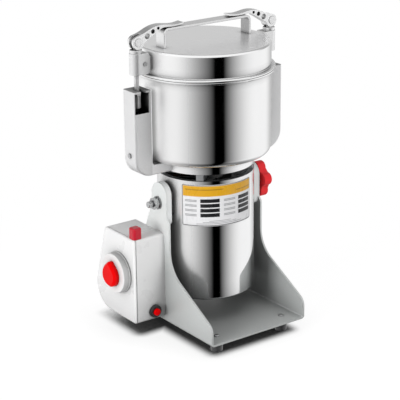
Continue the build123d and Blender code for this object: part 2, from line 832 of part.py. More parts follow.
# Short blade with both wings bent upwards, cut from strip and folded.
UPPER_REACH = 62.0
WING_RISE = 20.0
UPPER_Z = BLADE_SEAT + LOWER_BLADE + SPACER
with BuildPart() as upper_blade:
    with BuildSketch(across(10)) as fold:
        with BuildLine():
            Polyline(
                (-UPPER_REACH, UPPER_Z + WING_RISE),
                (-18, UPPER_Z),
                (18, UPPER_Z),
                (UPPER_REACH, UPPER_Z + WING_RISE),
                (UPPER_REACH, UPPER_Z + WING_RISE + UPPER_BLADE),
                (18, UPPER_Z + UPPER_BLADE),
                (-18, UPPER_Z + UPPER_BLADE),
                (-UPPER_REACH, UPPER_Z + WING_RISE + UPPER_BLADE),
                close=True,
            )
        make_face()
    extrude(amount=20)
    with BuildSketch(level(UPPER_Z - 1)):
        with BuildLine():
            Polyline(
                (-UPPER_REACH, -8),
                (-18, -10),
                (18, -10),
                (UPPER_REACH, 4),
                (UPPER_REACH, 8),
                (18, 10),
                (-18, 10),
                (-UPPER_REACH, -4),
                close=True,
            )
        make_face()
        Circle(6, mode=Mode.SUBTRACT)
    extrude(amount=WING_RISE + 6, mode=Mode.INTERSECT)
upper_blade.part.label = "upper_blade"
export_step(upper_blade.part, "parts/upper_blade.step")

NUT_Z = UPPER_Z + UPPER_BLADE
with BuildPart() as blade_nut:
    with BuildSketch(level(NUT_Z)):
        RegularPolygon(radius=9.5, side_count=6, major_radius=False)
    extrude(amount=8)
    with BuildSketch(level(NUT_Z + 8)):
        Circle(8.5)
    extrude(amount=7)
    fillet(blade_nut.edges().group_by(Axis.Z)[-1], radius=4.5)
    with BuildSketch(level(NUT_Z)):
        Circle(6)
    extrude(amount=270 - NUT_Z, mode=Mode.SUBTRACT)
blade_nut.part.label = "blade_nut"
export_step(blade_nut.part, "parts/blade_nut.step")

# ================================================================ side arms
# A bent channel that starts at the neck, runs out under the bowl and rises beside it.
# Its top end is a closed pocket for the latch rod's head. The window in the front and
# the slot in the top let the rod swing out once the lid is turned.
WINDOW_BOTTOM = 294.5
WINDOW_IN = 91.5
WINDOW_OUT = 111.3
POCKET_TOP = ARM_TOP - ARM_WALL
with BuildPart() as left_side_arm:
    with BuildSketch(across(ARM_HALF)):
        with BuildLine():
            FilletPolyline(
                (-50, ARM_BOTTOM),
                (-ARM_OUT, ARM_BOTTOM),
                (-ARM_OUT, ARM_TOP),
                (-ARM_IN, ARM_TOP),
                (-ARM_IN, BOWL_BOTTOM),
                (-50, BOWL_BOTTOM),
                radius=[0, 23, 0, 0, 4, 0],
                close=True,
            )
        make_face()
    extrude(amount=2 * ARM_HALF)
    outer = left_side_arm.edges().filter_by(Axis.Z).sort_by(Axis.X)[:2]
    fillet(outer, radius=2.5)
    with BuildSketch(level(ARM_BOTTOM - 1)):
        Circle(CAN_R)
    extrude(amount=BOWL_BOTTOM - ARM_BOTTOM + 2, mode=Mode.SUBTRACT)
    with BuildSketch(level(245)):
        with Locations((-(ARM_IN + ARM_OUT) / 2, 0)):
            RectangleRounded(ARM_OUT - ARM_IN - 2 * ARM_WALL, 2 * (ARM_HALF - ARM_WALL), 1.5)
    extrude(amount=POCKET_TOP - 245, mode=Mode.SUBTRACT)
    with BuildSketch(level(WINDOW_BOTTOM)):
        with Locations((-(WINDOW_IN + WINDOW_OUT) / 2, -ARM_HALF)):
            Rectangle(WINDOW_OUT - WINDOW_IN, 2 * ARM_WALL + 0.4)
    extrude(amount=POCKET_TOP - WINDOW_BOTTOM, mode=Mode.SUBTRACT)
    with BuildSketch(level(POCKET_TOP - 1)):
        with Locations((-ROD_X, 0)):
            Circle(ROD_R + 0.7)
        with Locations((-ROD_X + 1.8, -ARM_HALF - 3)):
            Circle(ROD_R + 0.9)
        make_hull()
    extrude(amount=ARM_WALL + 2, mode=Mode.SUBTRACT)
left_side_arm.part.label = "left_side_arm"
export_step(left_side_arm.part, "parts/left_side_arm.step")

with BuildPart() as right_side_arm:
    add(other_side(left_side_arm.part))
right_side_arm.part.label = "right_side_arm"
export_step(right_side_arm.part, "parts/right_side_arm.step")

ARM_SCREW_Z = 241.0
with BuildPart() as arm_screws:
    for side in (-1, 1):
        with BuildSketch(along(side * ARM_OUT)):
            with Locations((0, ARM_SCREW_Z)):
                Circle(2.8)
        extrude(amount=side * 1.2)
arm_screws.part.label = "arm_screws"
export_step(arm_screws.part, "parts/arm_screws.step")

# Safety switch in the left pocket: the rod's head presses its plunger when the lid is home.
SWITCH_Y = 6.0
PLUNGER_Z = 305.0
with BuildPart() as microswitch:
    with BuildSketch(across(ARM_HALF - ARM_WALL)):
        with Locations((-ROD_X + 0.5, PLUNGER_Z - 3)):
            RectangleRounded(11, 20, 1)
    extrude(amount=ARM_HALF - ARM_WALL - SWITCH_Y)
    with BuildSketch(across(SWITCH_Y)):
        with Locations((-ROD_X, PLUNGER_Z)):
            Circle(1.3 + RUN)
    extrude(amount=-3.6, mode=Mode.SUBTRACT)
microswitch.part.label = "microswitch"
export_step(microswitch.part, "parts/microswitch.step")

with BuildPart() as switch_plunger:
    with BuildSketch(across(SWITCH_Y + 3)):
        with Locations((-ROD_X, PLUNGER_Z)):
            Circle(1.3)
    extrude(amount=SWITCH_Y + 3 - 4.6)
    fillet(switch_plunger.edges().group_by(Axis.Y)[0], radius=0.6)
switch_plunger.part.label = "switch_plunger"
export_step(switch_plunger.part, "parts/switch_plunger.step")

# ================================================================ lid
LID_WALL = 1.5
PLUG_R = 76.0
with BuildPart() as lid_shell:
    with BuildSketch(across(0)):
        with BuildLine():
            FilletPolyline(
                (0, LID_TOP),
                (BOWL_R, LID_TOP),
                (BOWL_R, LID_BOTTOM + FLANGE),
                (FLANGE_R, LID_BOTTOM + FLANGE),
                (FLANGE_R, LID_BOTTOM),
                (PLUG_R, LID_BOTTOM),
                (PLUG_R, LID_BOTTOM - 5),
                (PLUG_R - LID_WALL, LID_BOTTOM - 5),
                (PLUG_R - LID_WALL, LID_BOTTOM + FLANGE),
                (BOWL_R - LID_WALL, LID_BOTTOM + FLANGE),
                (BOWL_R - LID_WALL, LID_TOP - LID_WALL),
                (0, LID_TOP - LID_WALL),
                radius=[0, 3, 0.8, 1.2, 0.4, 0, 0, 0, 0, 0.6, 1.5, 0],
                close=True,
            )
        make_face()
    revolve(axis=MILL_AXIS)
lid_shell.part.label = "lid_shell"
export_step(lid_shell.part, "parts/lid_shell.step")

with BuildPart() as lid_gasket:
    with BuildSketch(across(0)):
        with BuildLine():
            Polyline(
                (PLUG_R, LID_BOTTOM - 4.4),
                (GASKET_R, LID_BOTTOM - 3.2),
                (GASKET_R, BOWL_TOP + RUN),
                (FLANGE_R - 1.0, BOWL_TOP + RUN),
                (FLANGE_R - 1.0, LID_BOTTOM),
                (PLUG_R, LID_BOTTOM),
                close=True,
            )
        make_face()
    revolve(axis=MILL_AXIS)
lid_gasket.part.label = "lid_gasket"
export_step(lid_gasket.part, "parts/lid_gasket.step")

with BuildPart() as handle:
    with BuildSketch(across(STRAP_WIDTH / 2)):
        with BuildLine():
            FilletPolyline(
                (-HANDLE_X, LID_TOP),
                (-HANDLE_X, HANDLE_TOP),
                (HANDLE_X, HANDLE_TOP),
                (HANDLE_X, LID_TOP),
                (HANDLE_X - STRAP, LID_TOP),
                (HANDLE_X - STRAP, HANDLE_TOP - STRAP),
                (-HANDLE_X + STRAP, HANDLE_TOP - STRAP),
                (-HANDLE_X + STRAP, LID_TOP),
                radius=[0, 7, 7, 0, 0, 4, 4, 0],
                close=True,
            )
        make_face()
    extrude(amount=STRAP_WIDTH)
    rim = handle.faces().filter_by(Axis.Y).edges()
    rim = rim.filter_by(lambda edge: edge.center().Z > LID_TOP + 1)
    chamfer(rim, length=0.6)
handle.part.label = "handle"
export_step(handle.part, "parts/handle.step")

# ================================================================ latches
# Guide sleeve on the lid wall: two leaves reach from the tube to a block on the lid.
with BuildPart() as left_latch_sleeve:
    with BuildSketch(level(SLEEVE_BOTTOM)):
        with Locations((-ROD_X, 0)):
            Circle(SLEEVE_R)
        with BuildLine():
            Polyline(
                (-ROD_X, -SLEEVE_R),
                (-86, -SLEEVE_R),
                (-84.5, -6),
                (-75, -6),
                (-75, 6),
                (-84.5, 6),
                (-86, SLEEVE_R),
                (-ROD_X, SLEEVE_R),
                close=True,
            )
        make_face()
        Circle(BOWL_R, mode=Mode.SUBTRACT)
    extrude(amount=SLEEVE_TOP - SLEEVE_BOTTOM)
    with BuildSketch(across(SLEEVE_R + 1)):
        with BuildLine():
            Polyline(
                (-89, SLEEVE_TOP + 1),
                (-78, SLEEVE_TOP + 1),
                (-78, SLEEVE_TOP - 5),
                (-85, SLEEVE_TOP - 5),
                close=True,
            )
        make_face()
        with BuildLine():
            Polyline(
                (-89, SLEEVE_BOTTOM - 1),
                (-78, SLEEVE_BOTTOM - 1),
                (-78, SLEEVE_BOTTOM + 4),
                (-85, SLEEVE_BOTTOM + 4),
                close=True,
            )
        make_face()
    extrude(amount=2 * SLEEVE_R + 2, mode=Mode.SUBTRACT)
    with BuildSketch(level(SLEEVE_TOP)):
        with Locations((-ROD_X, 0)):
            Circle(SLEEVE_R - 0.4)
    extrude(amount=SEAT_TOP - SLEEVE_TOP)
    chamfer(left_latch_sleeve.edges().group_by(Axis.Z)[-1], length=0.6)
    with BuildSketch(level(SLEEVE_BOTTOM - 1)):
        with Locations((-ROD_X, 0)):
            Circle(ROD_R + RUN)
    extrude(amount=SEAT_TOP - SLEEVE_BOTTOM + 2, mode=Mode.SUBTRACT)
left_latch_sleeve.part.label = "left_latch_sleeve"
export_step(left_latch_sleeve.part, "parts/left_latch_sleeve.step")

with BuildPart() as right_latch_sleeve:
    add(other_side(left_latch_sleeve.part))
right_latch_sleeve.part.label = "right_latch_sleeve"
export_step(right_latch_sleeve.part, "parts/right_latch_sleeve.step")

with BuildPart() as sleeve_screws:
    for side in (-1, 1):
        with BuildSketch(across(side * SLEEVE_R)):
            with Locations((side * 93.0, 353)):
                Circle(2.4)
        extrude(amount=-side * 1.0)
sleeve_screws.part.label = "sleeve_screws"
export_step(sleeve_screws.part, "parts/sleeve_screws.step")

# Latch rod: the eye on top takes the lever's pin, the thick head below hangs in the arm.
HEAD_TOP = POCKET_TOP - 5.0
with BuildPart() as left_rod:
    with BuildSketch(level(HEAD_TOP - 15)):
        with Locations((-ROD_X, 0)):
            Circle(4.4)
    extrude(amount=15)
    with BuildSketch(level(HEAD_TOP)):
        with Locations((-ROD_X, 0)):
            Circle(ROD_R)
    extrude(amount=PIN_Z - HEAD_TOP)
    with BuildSketch(level(POCKET_TOP - 4.9)):
        with Locations((-ROD_X, 0)):
            RegularPolygon(radius=4.6, side_count=6, major_radius=False)
    extrude(amount=4.6)
    with BuildSketch(at_pin(EYE_WIDTH / 2 - RUN)):
        Circle(4.6)
    extrude(amount=EYE_WIDTH - 2 * RUN)
    with BuildSketch(at_pin(EYE_WIDTH)):
        Circle(2.5 + RUN)
    extrude(amount=2 * EYE_WIDTH, mode=Mode.SUBTRACT)
left_rod.part.label = "left_rod"
export_step(left_rod.part, "parts/left_rod.step")

with BuildPart() as right_rod:
    add(other_side(left_rod.part))
right_rod.part.label = "right_rod"
export_step(right_rod.part, "parts/right_rod.step")

CAM_CENTRE = (CAM_THROW * cos(radians(CAM_ANGLE)), -CAM_THROW * sin(radians(CAM_ANGLE)))

# Cam lever: a cast arm with three lightening holes. Its forked end straddles the rod's
# eye, and the low side of the fork is the cam that bears on the sleeve.
with BuildPart() as left_lever:
    with BuildSketch(at_pin(LEVER_WIDTH / 2)):
        Circle(CAM_R)
        with Locations(CAM_CENTRE):
            Circle(CAM_R)
        with BuildLine():
            top = Spline(
                (-2.0, 7.2),
                (10, 10.9),
                (19, 14.6),
                (28, 16.5),
                (36, 16.6),
                (45, 15.4),
                (54, 14.6),
                (65.5, 15.9),
                tangents=[(1, 0.22), (1, 0.16)],
            )
            tip = Line(top @ 1, (66.3, 14.0))
            under = Spline(
                tip @ 1,
                (54, 12.6),
                (45, 12.7),
                (36, 13.1),
                (29, 10.4),
                (18, 4.0),
                (7.2, -2.6),
                tangents=[(-1, -0.16), (-1, -0.6)],
            )
            Line(under @ 1, (0, 0))
            Line((0, 0), top @ 0)
        make_face()
        with Locations((12.9, 6.0)):
            Circle(3.5, mode=Mode.SUBTRACT)
        with Locations((21.1, 10.6)):
            Circle(2.7, mode=Mode.SUBTRACT)
        with Locations((28.8, 13.5)):
            Circle(1.8, mode=Mode.SUBTRACT)
    extrude(amount=LEVER_WIDTH)
    with BuildSketch(at_pin(EYE_WIDTH / 2)):
        with Locations((-2.5, 0)):
            Rectangle(16, 24)
    extrude(amount=EYE_WIDTH, mode=Mode.SUBTRACT)
    with BuildSketch(at_pin(LEVER_WIDTH)):
        Circle(2.5)
    extrude(amount=2 * LEVER_WIDTH, mode=Mode.SUBTRACT)
left_lever.part.label = "left_lever"
export_step(left_lever.part, "parts/left_lever.step")

with BuildPart() as right_lever:
    add(other_side(left_lever.part))
right_lever.part.label = "right_lever"
export_step(right_lever.part, "parts/right_lever.step")

PIN_HEAD = 1.4
with BuildPart() as left_lever_pin:
    with BuildSketch(at_pin(LEVER_WIDTH / 2 + PIN_HEAD)):
        Circle(2.5)
    extrude(amount=LEVER_WIDTH + 2 * PIN_HEAD)
    with BuildSketch(at_pin(LEVER_WIDTH / 2 + PIN_HEAD)):
        Circle(4.6)
    extrude(amount=PIN_HEAD)
    with BuildSketch(at_pin(-LEVER_WIDTH / 2)):
        Circle(4.6)
    extrude(amount=PIN_HEAD)
    heads = left_lever_pin.edges().group_by(Axis.Y)
    fillet([heads[0].sort_by(SortBy.RADIUS)[-1], heads[-1].sort_by(SortBy.RADIUS)[-1]], radius=0.5)
left_lever_pin.part.label = "left_lever_pin"
export_step(left_lever_pin.part, "parts/left_lever_pin.step")

with BuildPart() as right_lever_pin:
    add(other_side(left_lever_pin.part))
right_lever_pin.part.label = "right_lever_pin"
export_step(right_lever_pin.part, "parts/right_lever_pin.step")
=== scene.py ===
# %% [markdown]
# # A swing-type electric grain mill, dressed for rendering
#
# The mill is a steel drum hung between two painted cheeks, so that it can be tipped out
# like a bucket. A bowl with two blades sits on top of the motor's drum, and two cam
# levers pull the lid down on it. The rigid pieces come from the CAD model as a fixed
# frame. This lesson gives each of them the finish that the real one has, adds the printed
# label film, and sets up a plain studio to see them in.
#
# Everything is in metres. +Z is up, the open tray of the base faces -Y, and the control
# box is on the -X side.

# %% Load the frame
import math

import bpy
import numpy as np
from mathutils import Matrix, Vector


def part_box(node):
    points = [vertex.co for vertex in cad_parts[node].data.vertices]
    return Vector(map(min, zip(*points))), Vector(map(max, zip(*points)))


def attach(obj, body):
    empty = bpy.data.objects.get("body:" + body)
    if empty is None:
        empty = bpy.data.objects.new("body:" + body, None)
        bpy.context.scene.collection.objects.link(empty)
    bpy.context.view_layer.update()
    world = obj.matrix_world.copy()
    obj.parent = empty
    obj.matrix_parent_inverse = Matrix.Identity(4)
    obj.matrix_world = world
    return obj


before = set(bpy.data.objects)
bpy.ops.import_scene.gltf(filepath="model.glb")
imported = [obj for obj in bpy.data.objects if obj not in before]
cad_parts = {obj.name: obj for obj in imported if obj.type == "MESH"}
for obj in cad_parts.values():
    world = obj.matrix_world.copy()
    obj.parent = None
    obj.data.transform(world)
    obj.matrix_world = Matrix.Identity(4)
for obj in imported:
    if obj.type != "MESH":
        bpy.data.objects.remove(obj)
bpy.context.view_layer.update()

# %% [markdown]
# ## Where the mill's own lines are
#
# Nearly every visible piece is round about one upright axis. Reading that axis and the
# radii from the frame keeps this script in step with the CAD model: if the drum grows by
# a millimetre there, the label here follows it.

# %% Measure the round pieces
bowl_low, bowl_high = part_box("bowl")
can_low, can_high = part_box("motor_can")
bowl_middle = (bowl_low + bowl_high) / 2
MILL_X, MILL_Y = bowl_middle.x, bowl_middle.y
CAN_R = (can_high.x - can_low.x) / 2
print("axis at", round(MILL_X, 4), round(MILL_Y, 4), "drum radius", round(CAN_R, 4))

# %% [markdown]
# ## Camera
#
# A product photographer stands well back with a long lens, so that upright edges stay
# nearly parallel. The camera is placed by how far it is turned from the front and how
# high it looks down from, round a point on the mill's axis, and its own three axes are
# written into its matrix. That is easier to reason about than three Euler angles.

# %% Camera
CAMERA_TURN = math.radians(36.05)
CAMERA_RISE = math.radians(19.47)
CAMERA_ROLL = math.radians(-0.55)
CAMERA_REACH = 1.8095
CAMERA_LENS = 128.56
SENSOR_WIDTH = 36
FAR_CLIP = 100
AIM_ASIDE = -0.00716
AIM_HEIGHT = 0.16057

ahead = Vector((
    math.sin(CAMERA_TURN) * math.cos(CAMERA_RISE),
    math.cos(CAMERA_TURN) * math.cos(CAMERA_RISE),
    -math.sin(CAMERA_RISE),
))
aside = Vector((math.cos(CAMERA_TURN), -math.sin(CAMERA_TURN), 0))
camera_up = aside.cross(ahead)
aim = Vector((MILL_X, MILL_Y, AIM_HEIGHT)) + aside * AIM_ASIDE
rolled_aside = aside * math.cos(CAMERA_ROLL) + camera_up * math.sin(CAMERA_ROLL)
rolled_up = camera_up * math.cos(CAMERA_ROLL) - aside * math.sin(CAMERA_ROLL)

camera = bpy.data.objects.new("camera", bpy.data.cameras.new("camera"))
camera.data.sensor_width = SENSOR_WIDTH
camera.data.lens = CAMERA_LENS
camera.data.clip_end = FAR_CLIP
placing = Matrix((rolled_aside, rolled_up, -ahead)).transposed().to_4x4()
placing.translation = aim - ahead * CAMERA_REACH
camera.matrix_world = placing
bpy.context.scene.collection.objects.link(camera)
bpy.context.scene.camera = camera
bpy.context.scene.view_settings.view_transform = "Standard"
print("camera at", [round(x, 3) for x in camera.matrix_world.translation])

# %% [markdown]
# ## A short way to write shader nodes
#
# A material is a graph of nodes. Building one takes three moves again and again: add a
# node, set or link its inputs, and take an output. The first helper below does those in
# one call, and the others name the sums that come back most often, so that each finish
# further down reads as a short recipe.

# %% Node helpers


def add(tree, kind, output=0, settings=None, **inputs):
    """Adds one node, sets its properties, then sets or links each named input. An input's
    name has _ for its spaces, and input_3 picks the fourth one by its place. Gives the
    output asked for, which can be linked to the next node's input."""
    node = tree.nodes.new(kind)
    for name, value in (settings or {}).items():
        setattr(node, name, value)
    for name, value in inputs.items():
        place = name.removeprefix("input_")
        socket = node.inputs[int(place)] if place.isdigit() else node.inputs[name.replace("_", " ")]
        if isinstance(value, bpy.types.NodeSocket):
            tree.links.new(value, socket)
        else:
            socket.default_value = value
    return None if output is None else node.outputs[output]


def math_node(tree, operation, first, second=0.0):
    """One sum, product or other function of two numbers."""
    return add(tree, "ShaderNodeMath", settings={"operation": operation},
               input_0=first, input_1=second)


def times(tree, first, second):
    """The product of two numbers."""
    return math_node(tree, "MULTIPLY", first, second)


def vector_node(tree, operation, first, second):
    """One function of two vectors, such as their product, piece by piece."""
    return add(tree, "ShaderNodeVectorMath", settings={"operation": operation},
               input_0=first, input_1=second)


def length(tree, vector):
    """How long a vector is."""
    return add(tree, "ShaderNodeVectorMath", 1, {"operation": "LENGTH"}, input_0=vector)


def share_along(tree, direction, axis):
    """How far a direction points along an axis, from -1 to 1. Of a place, instead of a
    direction, it gives the coordinate on that axis."""
    return add(tree, "ShaderNodeVectorMath", 1, {"operation": "DOT_PRODUCT"},
               input_0=direction, input_1=axis)


def between(tree, value, low, high, to_low=0.0, to_high=1.0, smooth=False):
    """Carries a value's stretch from low..high over to to_low..to_high, held at both ends."""
    kind = "SMOOTHSTEP" if smooth else "LINEAR"
    return add(tree, "ShaderNodeMapRange", settings={"interpolation_type": kind},
               Value=value, From_Min=low, From_Max=high, To_Min=to_low, To_Max=to_high)


def mixed(tree, share, first, second):
    """Two colours mixed, all first at share 0 and all second at share 1."""
    return add(tree, "ShaderNodeMix", 2, {"data_type": "RGBA"},
               input_0=share, input_6=first, input_7=second)


def mixed_value(tree, share, first, second):
    """Two numbers mixed, all first at share 0 and all second at share 1."""
    return add(tree, "ShaderNodeMix", 0, {"data_type": "FLOAT"},
               input_0=share, input_2=first, input_3=second)


def multiplied(tree, first, second):
    """Two colours multiplied, channel by channel."""
    return add(tree, "ShaderNodeMix", 2, {"data_type": "RGBA", "blend_type": "MULTIPLY"},
               input_0=1.0, input_6=first, input_7=second)


def grey(level):
    """A neutral colour of that brightness."""
    return (level, level, level, 1.0)


def grey_from(tree, level):
    """A neutral colour whose brightness is another node's output."""
    return add(tree, "ShaderNodeCombineColor", Red=level, Green=level, Blue=level)


# %% [markdown]
# ## The studio: what polished steel sees
#
# A mirror has no colour of its own, so a polished drum is drawn by its surroundings.
# Photographers of pots and cans stand white walls all round and one narrow black card
# beside the camera. The drum then shows a soft grey slope that ends in one crisp black
# band, and the eye reads that as polished metal.
#
# Here the walls are the world's background, as a brightness that depends on direction:
# it climbs like a quarter of a sine wave from the card's edge to a full white at the
# side, and falls off again behind, where a drum's outline would melt into a white page.
# The ceiling is white in front and overhead and greyer behind, which is the part that
# level faces such as the lid's top send to the camera, and a little lighter again at its
# far end. Steeply below, the walls give way to a darker grey, which draws the underside
# of each small part. Rays from the camera see plain white, and rays from matte surfaces
# see an even grey, which is the soft fill light.

# %% World
CARD_FROM, CARD_TO = math.radians(17.0), math.radians(32.5)
SLOPE_LEFT, SLOPE_RIGHT = math.radians(112), math.radians(66)
BEHIND_FROM, BEHIND_TO = math.radians(125), math.radians(165)
FILL_LIGHT = 0.30
WALL_WHITE = 0.97
BEHIND_WHITE = 0.52
CEILING_FRONT = 1.0
CEILING_BEHIND = 0.44
CEILING_FAR = 0.68
CEILING_TURN_FROM, CEILING_TURN_TO = -0.55, -0.15
CEILING_END_FROM, CEILING_END_TO = -0.92, -0.75
WALL_TOP_FROM, WALL_TOP_TO = -0.12, 0.10
BELOW_FROM, BELOW_TO = -0.85, -0.50
BELOW_WHITE = 0.25

world = bpy.data.worlds.new("studio")
bpy.context.scene.world = world
world.use_nodes = True
sky = world.node_tree
sky.nodes.clear()

direction = add(sky, "ShaderNodeTexCoord")
beside = share_along(sky, direction, (aside.x, aside.y, 0))
toward = share_along(sky, direction, (-math.sin(CAMERA_TURN), -math.cos(CAMERA_TURN), 0))
bearing = math_node(sky, "ARCTAN2", beside, toward)
left_of_card = math_node(sky, "SUBTRACT", CARD_FROM, bearing)
right_of_card = math_node(sky, "SUBTRACT", bearing, CARD_TO)
left_slope = math_node(sky, "SINE", between(sky, left_of_card, 0, SLOPE_LEFT, 0, math.pi / 2))
right_slope = math_node(sky, "SINE", between(sky, right_of_card, 0, SLOPE_RIGHT, 0, math.pi / 2))
front_wall = math_node(sky, "MAXIMUM", left_slope, right_slope)
behind = between(sky, math_node(sky, "ABSOLUTE", bearing), BEHIND_FROM, BEHIND_TO,
                 WALL_WHITE, BEHIND_WHITE, smooth=True)
rise = share_along(sky, direction, (0, 0, 1))
below = between(sky, rise, BELOW_FROM, BELOW_TO, BELOW_WHITE, 1.0, smooth=True)
wall = times(sky, times(sky, front_wall, behind), below)
nearby = between(sky, toward, CEILING_TURN_FROM, CEILING_TURN_TO,
                 CEILING_BEHIND, CEILING_FRONT, smooth=True)
faraway = between(sky, toward, CEILING_END_FROM, CEILING_END_TO,
                  CEILING_FAR - CEILING_BEHIND, 0, smooth=True)
overhead = math_node(sky, "ADD", nearby, faraway)
ceiling = between(sky, rise, WALL_TOP_FROM, WALL_TOP_TO, smooth=True)
seen_in_metal = mixed(sky, ceiling, grey_from(sky, wall), grey_from(sky, overhead))

rays = sky.nodes.new("ShaderNodeLightPath")
sharp = math_node(sky, "MAXIMUM", rays.outputs["Is Glossy Ray"], rays.outputs["Is Transmission Ray"])
background = mixed(sky, sharp, grey(FILL_LIGHT), seen_in_metal)
background = mixed(sky, rays.outputs["Is Camera Ray"], background, grey(1.0))
add(sky, "ShaderNodeOutputWorld", None, Surface=add(sky, "ShaderNodeBackground", Color=background))
print("world nodes", len(sky.nodes))

# %% [markdown]
# ## Floor
#
# The page under the mill is one big plane. A diffuse floor keeps the mill's shadow, and
# a colour above white, for camera rays only, carries the lit part of it up to the plain
# white of a catalogue page while the shadow stays. Two things shape the shadow. The
# Ambient Occlusion node tells how shut in each spot is, and darkens the colour that the
# camera sees there, a painted shadow that deepens the real one right under the base. And
# the distance from the base's footprint, which is that of a point from a rectangle, lets
# it fade into plain white: most of it within two centimetres, and the faint rest by
# forty. Mirrors look past the floor to the studio's walls, as they do on a sweep of white
# paper that curves up out of sight.

# %% Floor
FLOOR_HALF = 30.0
FLOOR_WHITE = 0.80
FLOOR_GAIN = 1.9
SHADE_REACH = 0.070
SHUT_AT, OPEN_AT, DEEPEST = 0.30, 0.98, 0.04
SHADOW_FROM, SHADOW_TO, SHADOW_LEFT = 0.000, 0.020, 0.10
BASE_INSET, BOX_INSET = 0.015, 0.023
PAGE_FROM, PAGE_TO = 0.15, 0.40

floor_mesh = bpy.data.meshes.new("floor")
floor_mesh.from_pydata(
    [(-FLOOR_HALF, -FLOOR_HALF, 0), (FLOOR_HALF, -FLOOR_HALF, 0),
     (FLOOR_HALF, FLOOR_HALF, 0), (-FLOOR_HALF, FLOOR_HALF, 0)], [], [(0, 1, 2, 3)])
floor = bpy.data.objects.new("floor", floor_mesh)
bpy.context.scene.collection.objects.link(floor)
floor.visible_glossy = False

page = bpy.data.materials.new("page")
page.use_nodes = True
page.node_tree.nodes.clear()
paper = page.node_tree
rays = paper.nodes.new("ShaderNodeLightPath")
openness = add(paper, "ShaderNodeAmbientOcclusion", "AO", {"samples": 8}, Distance=SHADE_REACH)
# Painted shadow: the floor's colour for camera rays darkens where ambient occlusion finds it shut in.
page_painted_shadow = times(paper, between(paper, openness, SHUT_AT, OPEN_AT, DEEPEST, 1.0), FLOOR_GAIN)
colour = mixed(paper, rays.outputs["Is Camera Ray"], grey(FLOOR_WHITE), grey_from(paper, page_painted_shadow))
lit = add(paper, "ShaderNodeBsdfDiffuse", Color=colour)


def distance_from(low_x, high_x, low_y, high_y):
    """How far a spot on the floor lies outside that rectangle."""
    middle = ((low_x + high_x) / 2, (low_y + high_y) / 2, 0)
    half = ((high_x - low_x) / 2, (high_y - low_y) / 2, 0)
    offset = vector_node(paper, "SUBTRACT", add(paper, "ShaderNodeTexCoord", "Object"), middle)
    outside = vector_node(paper, "SUBTRACT", vector_node(paper, "ABSOLUTE", offset, (0, 0, 0)), half)
    return length(paper, vector_node(paper, "MAXIMUM", outside, (0, 0, 0)))


base_low, base_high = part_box("base_bracket")
box_low, box_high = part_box("control_box")
under_base = distance_from(base_low.x + BASE_INSET, base_high.x - BASE_INSET,
                           base_low.y + BASE_INSET, base_high.y - BASE_INSET)
under_box = distance_from(box_low.x + BOX_INSET, base_low.x + 2 * BASE_INSET,
                          box_low.y + BOX_INSET, box_high.y + BOX_INSET / 2)
away = math_node(paper, "MINIMUM", under_base, under_box)
shadow_gone = between(paper, away, SHADOW_FROM, SHADOW_TO, 0, 1 - SHADOW_LEFT, smooth=True)
page_gone = between(paper, away, PAGE_FROM, PAGE_TO, 0, SHADOW_LEFT, smooth=True)
plain = times(paper, math_node(paper, "ADD", shadow_gone, page_gone), rays.outputs["Is Camera Ray"])
white = add(paper, "ShaderNodeEmission", Color=grey(1.0), Strength=1.0)
page_shader = add(paper, "ShaderNodeMixShader", input_0=plain, input_1=lit, input_2=white)
add(paper, "ShaderNodeOutputMaterial", None, Surface=page_shader)
floor_mesh.materials.append(page)
print("shadow fades from", SHADOW_FROM, "to", SHADOW_TO, "m out, the page from", PAGE_FROM)

# %% [markdown]
# ## Lamps
#
# A large soft key stands on the box's side, low enough to light upright faces more than
# level ones. Half as strong, a second one stands in front, and a weak wide lamp overhead
# opens the shadows on the tray. No lamp shows in the metal, where the walls already draw
# the shape.

# %% Lamps
LAMP_AIM_HEIGHT = 0.18


def softbox(name, place, size, power):
    """A square lamp of that size, turned to face the middle of the mill."""
    lamp = bpy.data.objects.new(name, bpy.data.lights.new(name, "AREA"))
    lamp.data.size = size
    lamp.data.energy = power
    to_mill = Vector((MILL_X, MILL_Y, LAMP_AIM_HEIGHT)) - Vector(place)
    lamp.rotation_euler = to_mill.to_track_quat("-Z", "Y").to_euler()
    lamp.location = place
    lamp.visible_camera = False
    lamp.visible_glossy = False
    bpy.context.scene.collection.objects.link(lamp)
    print("lamp", name, "size", size, "m, power", power, "W")


softbox("key", (-2.4, -0.45, 0.70), 1.1, 43.0)
softbox("front", (0.7, -2.3, 0.8), 1.2, 22.0)
softbox("top", (0.2, -0.3, 2.4), 1.6, 7.0)

# %% [markdown]
# ## Finishes
#
# Each finish is a Principled shader with the marks that its making leaves. Polished
# steel has faint turning lines about the mill's axis. Enamel has the slight dimpling
# called orange peel. Castings have a soft unevenness under their shine. All patterns
# read Object coordinates, which here are metres in the mill's own frame, so a scale of
# 1000 puts one cycle on each millimetre. The way a face looks is read in the same frame,
# from Texture Coordinate's Normal, so the lid's top stays brushed when the head tips.

# %% Starting a finish
RING_CIRCLE = 0.0016
LOOKS_IN_FROM, LOOKS_IN_TO = -0.75, -0.45
REACH_BLUR = 0.0005


def new_finish(name):
    """An empty node material: the material, its tree and its object coordinates."""
    material = bpy.data.materials.new(name)
    material.use_nodes = True
    material.node_tree.nodes.clear()
    tree = material.node_tree
    return material, tree, add(tree, "ShaderNodeTexCoord", "Object")


def close_finish(tree, **inputs):
    """The Principled shader with those inputs, linked to the material's output."""
    shader = add(tree, "ShaderNodeBsdfPrincipled", **inputs)
    add(tree, "ShaderNodeOutputMaterial", None, Surface=shader)


def noise(tree, place, scale, detail=3.0):
    """Soft random brightness, about one blob for each 1/scale of length."""
    return add(tree, "ShaderNodeTexNoise", "Fac", Vector=place, Scale=scale, Detail=detail)


def stretched(tree, place, along):
    """Coordinates squeezed along each axis by that share, so that a pattern runs long."""
    return vector_node(tree, "MULTIPLY", place, along)


def height_of(tree, place):
    """How high above the floor a place is in the mill's own frame."""
    return share_along(tree, place, (0, 0, 1))


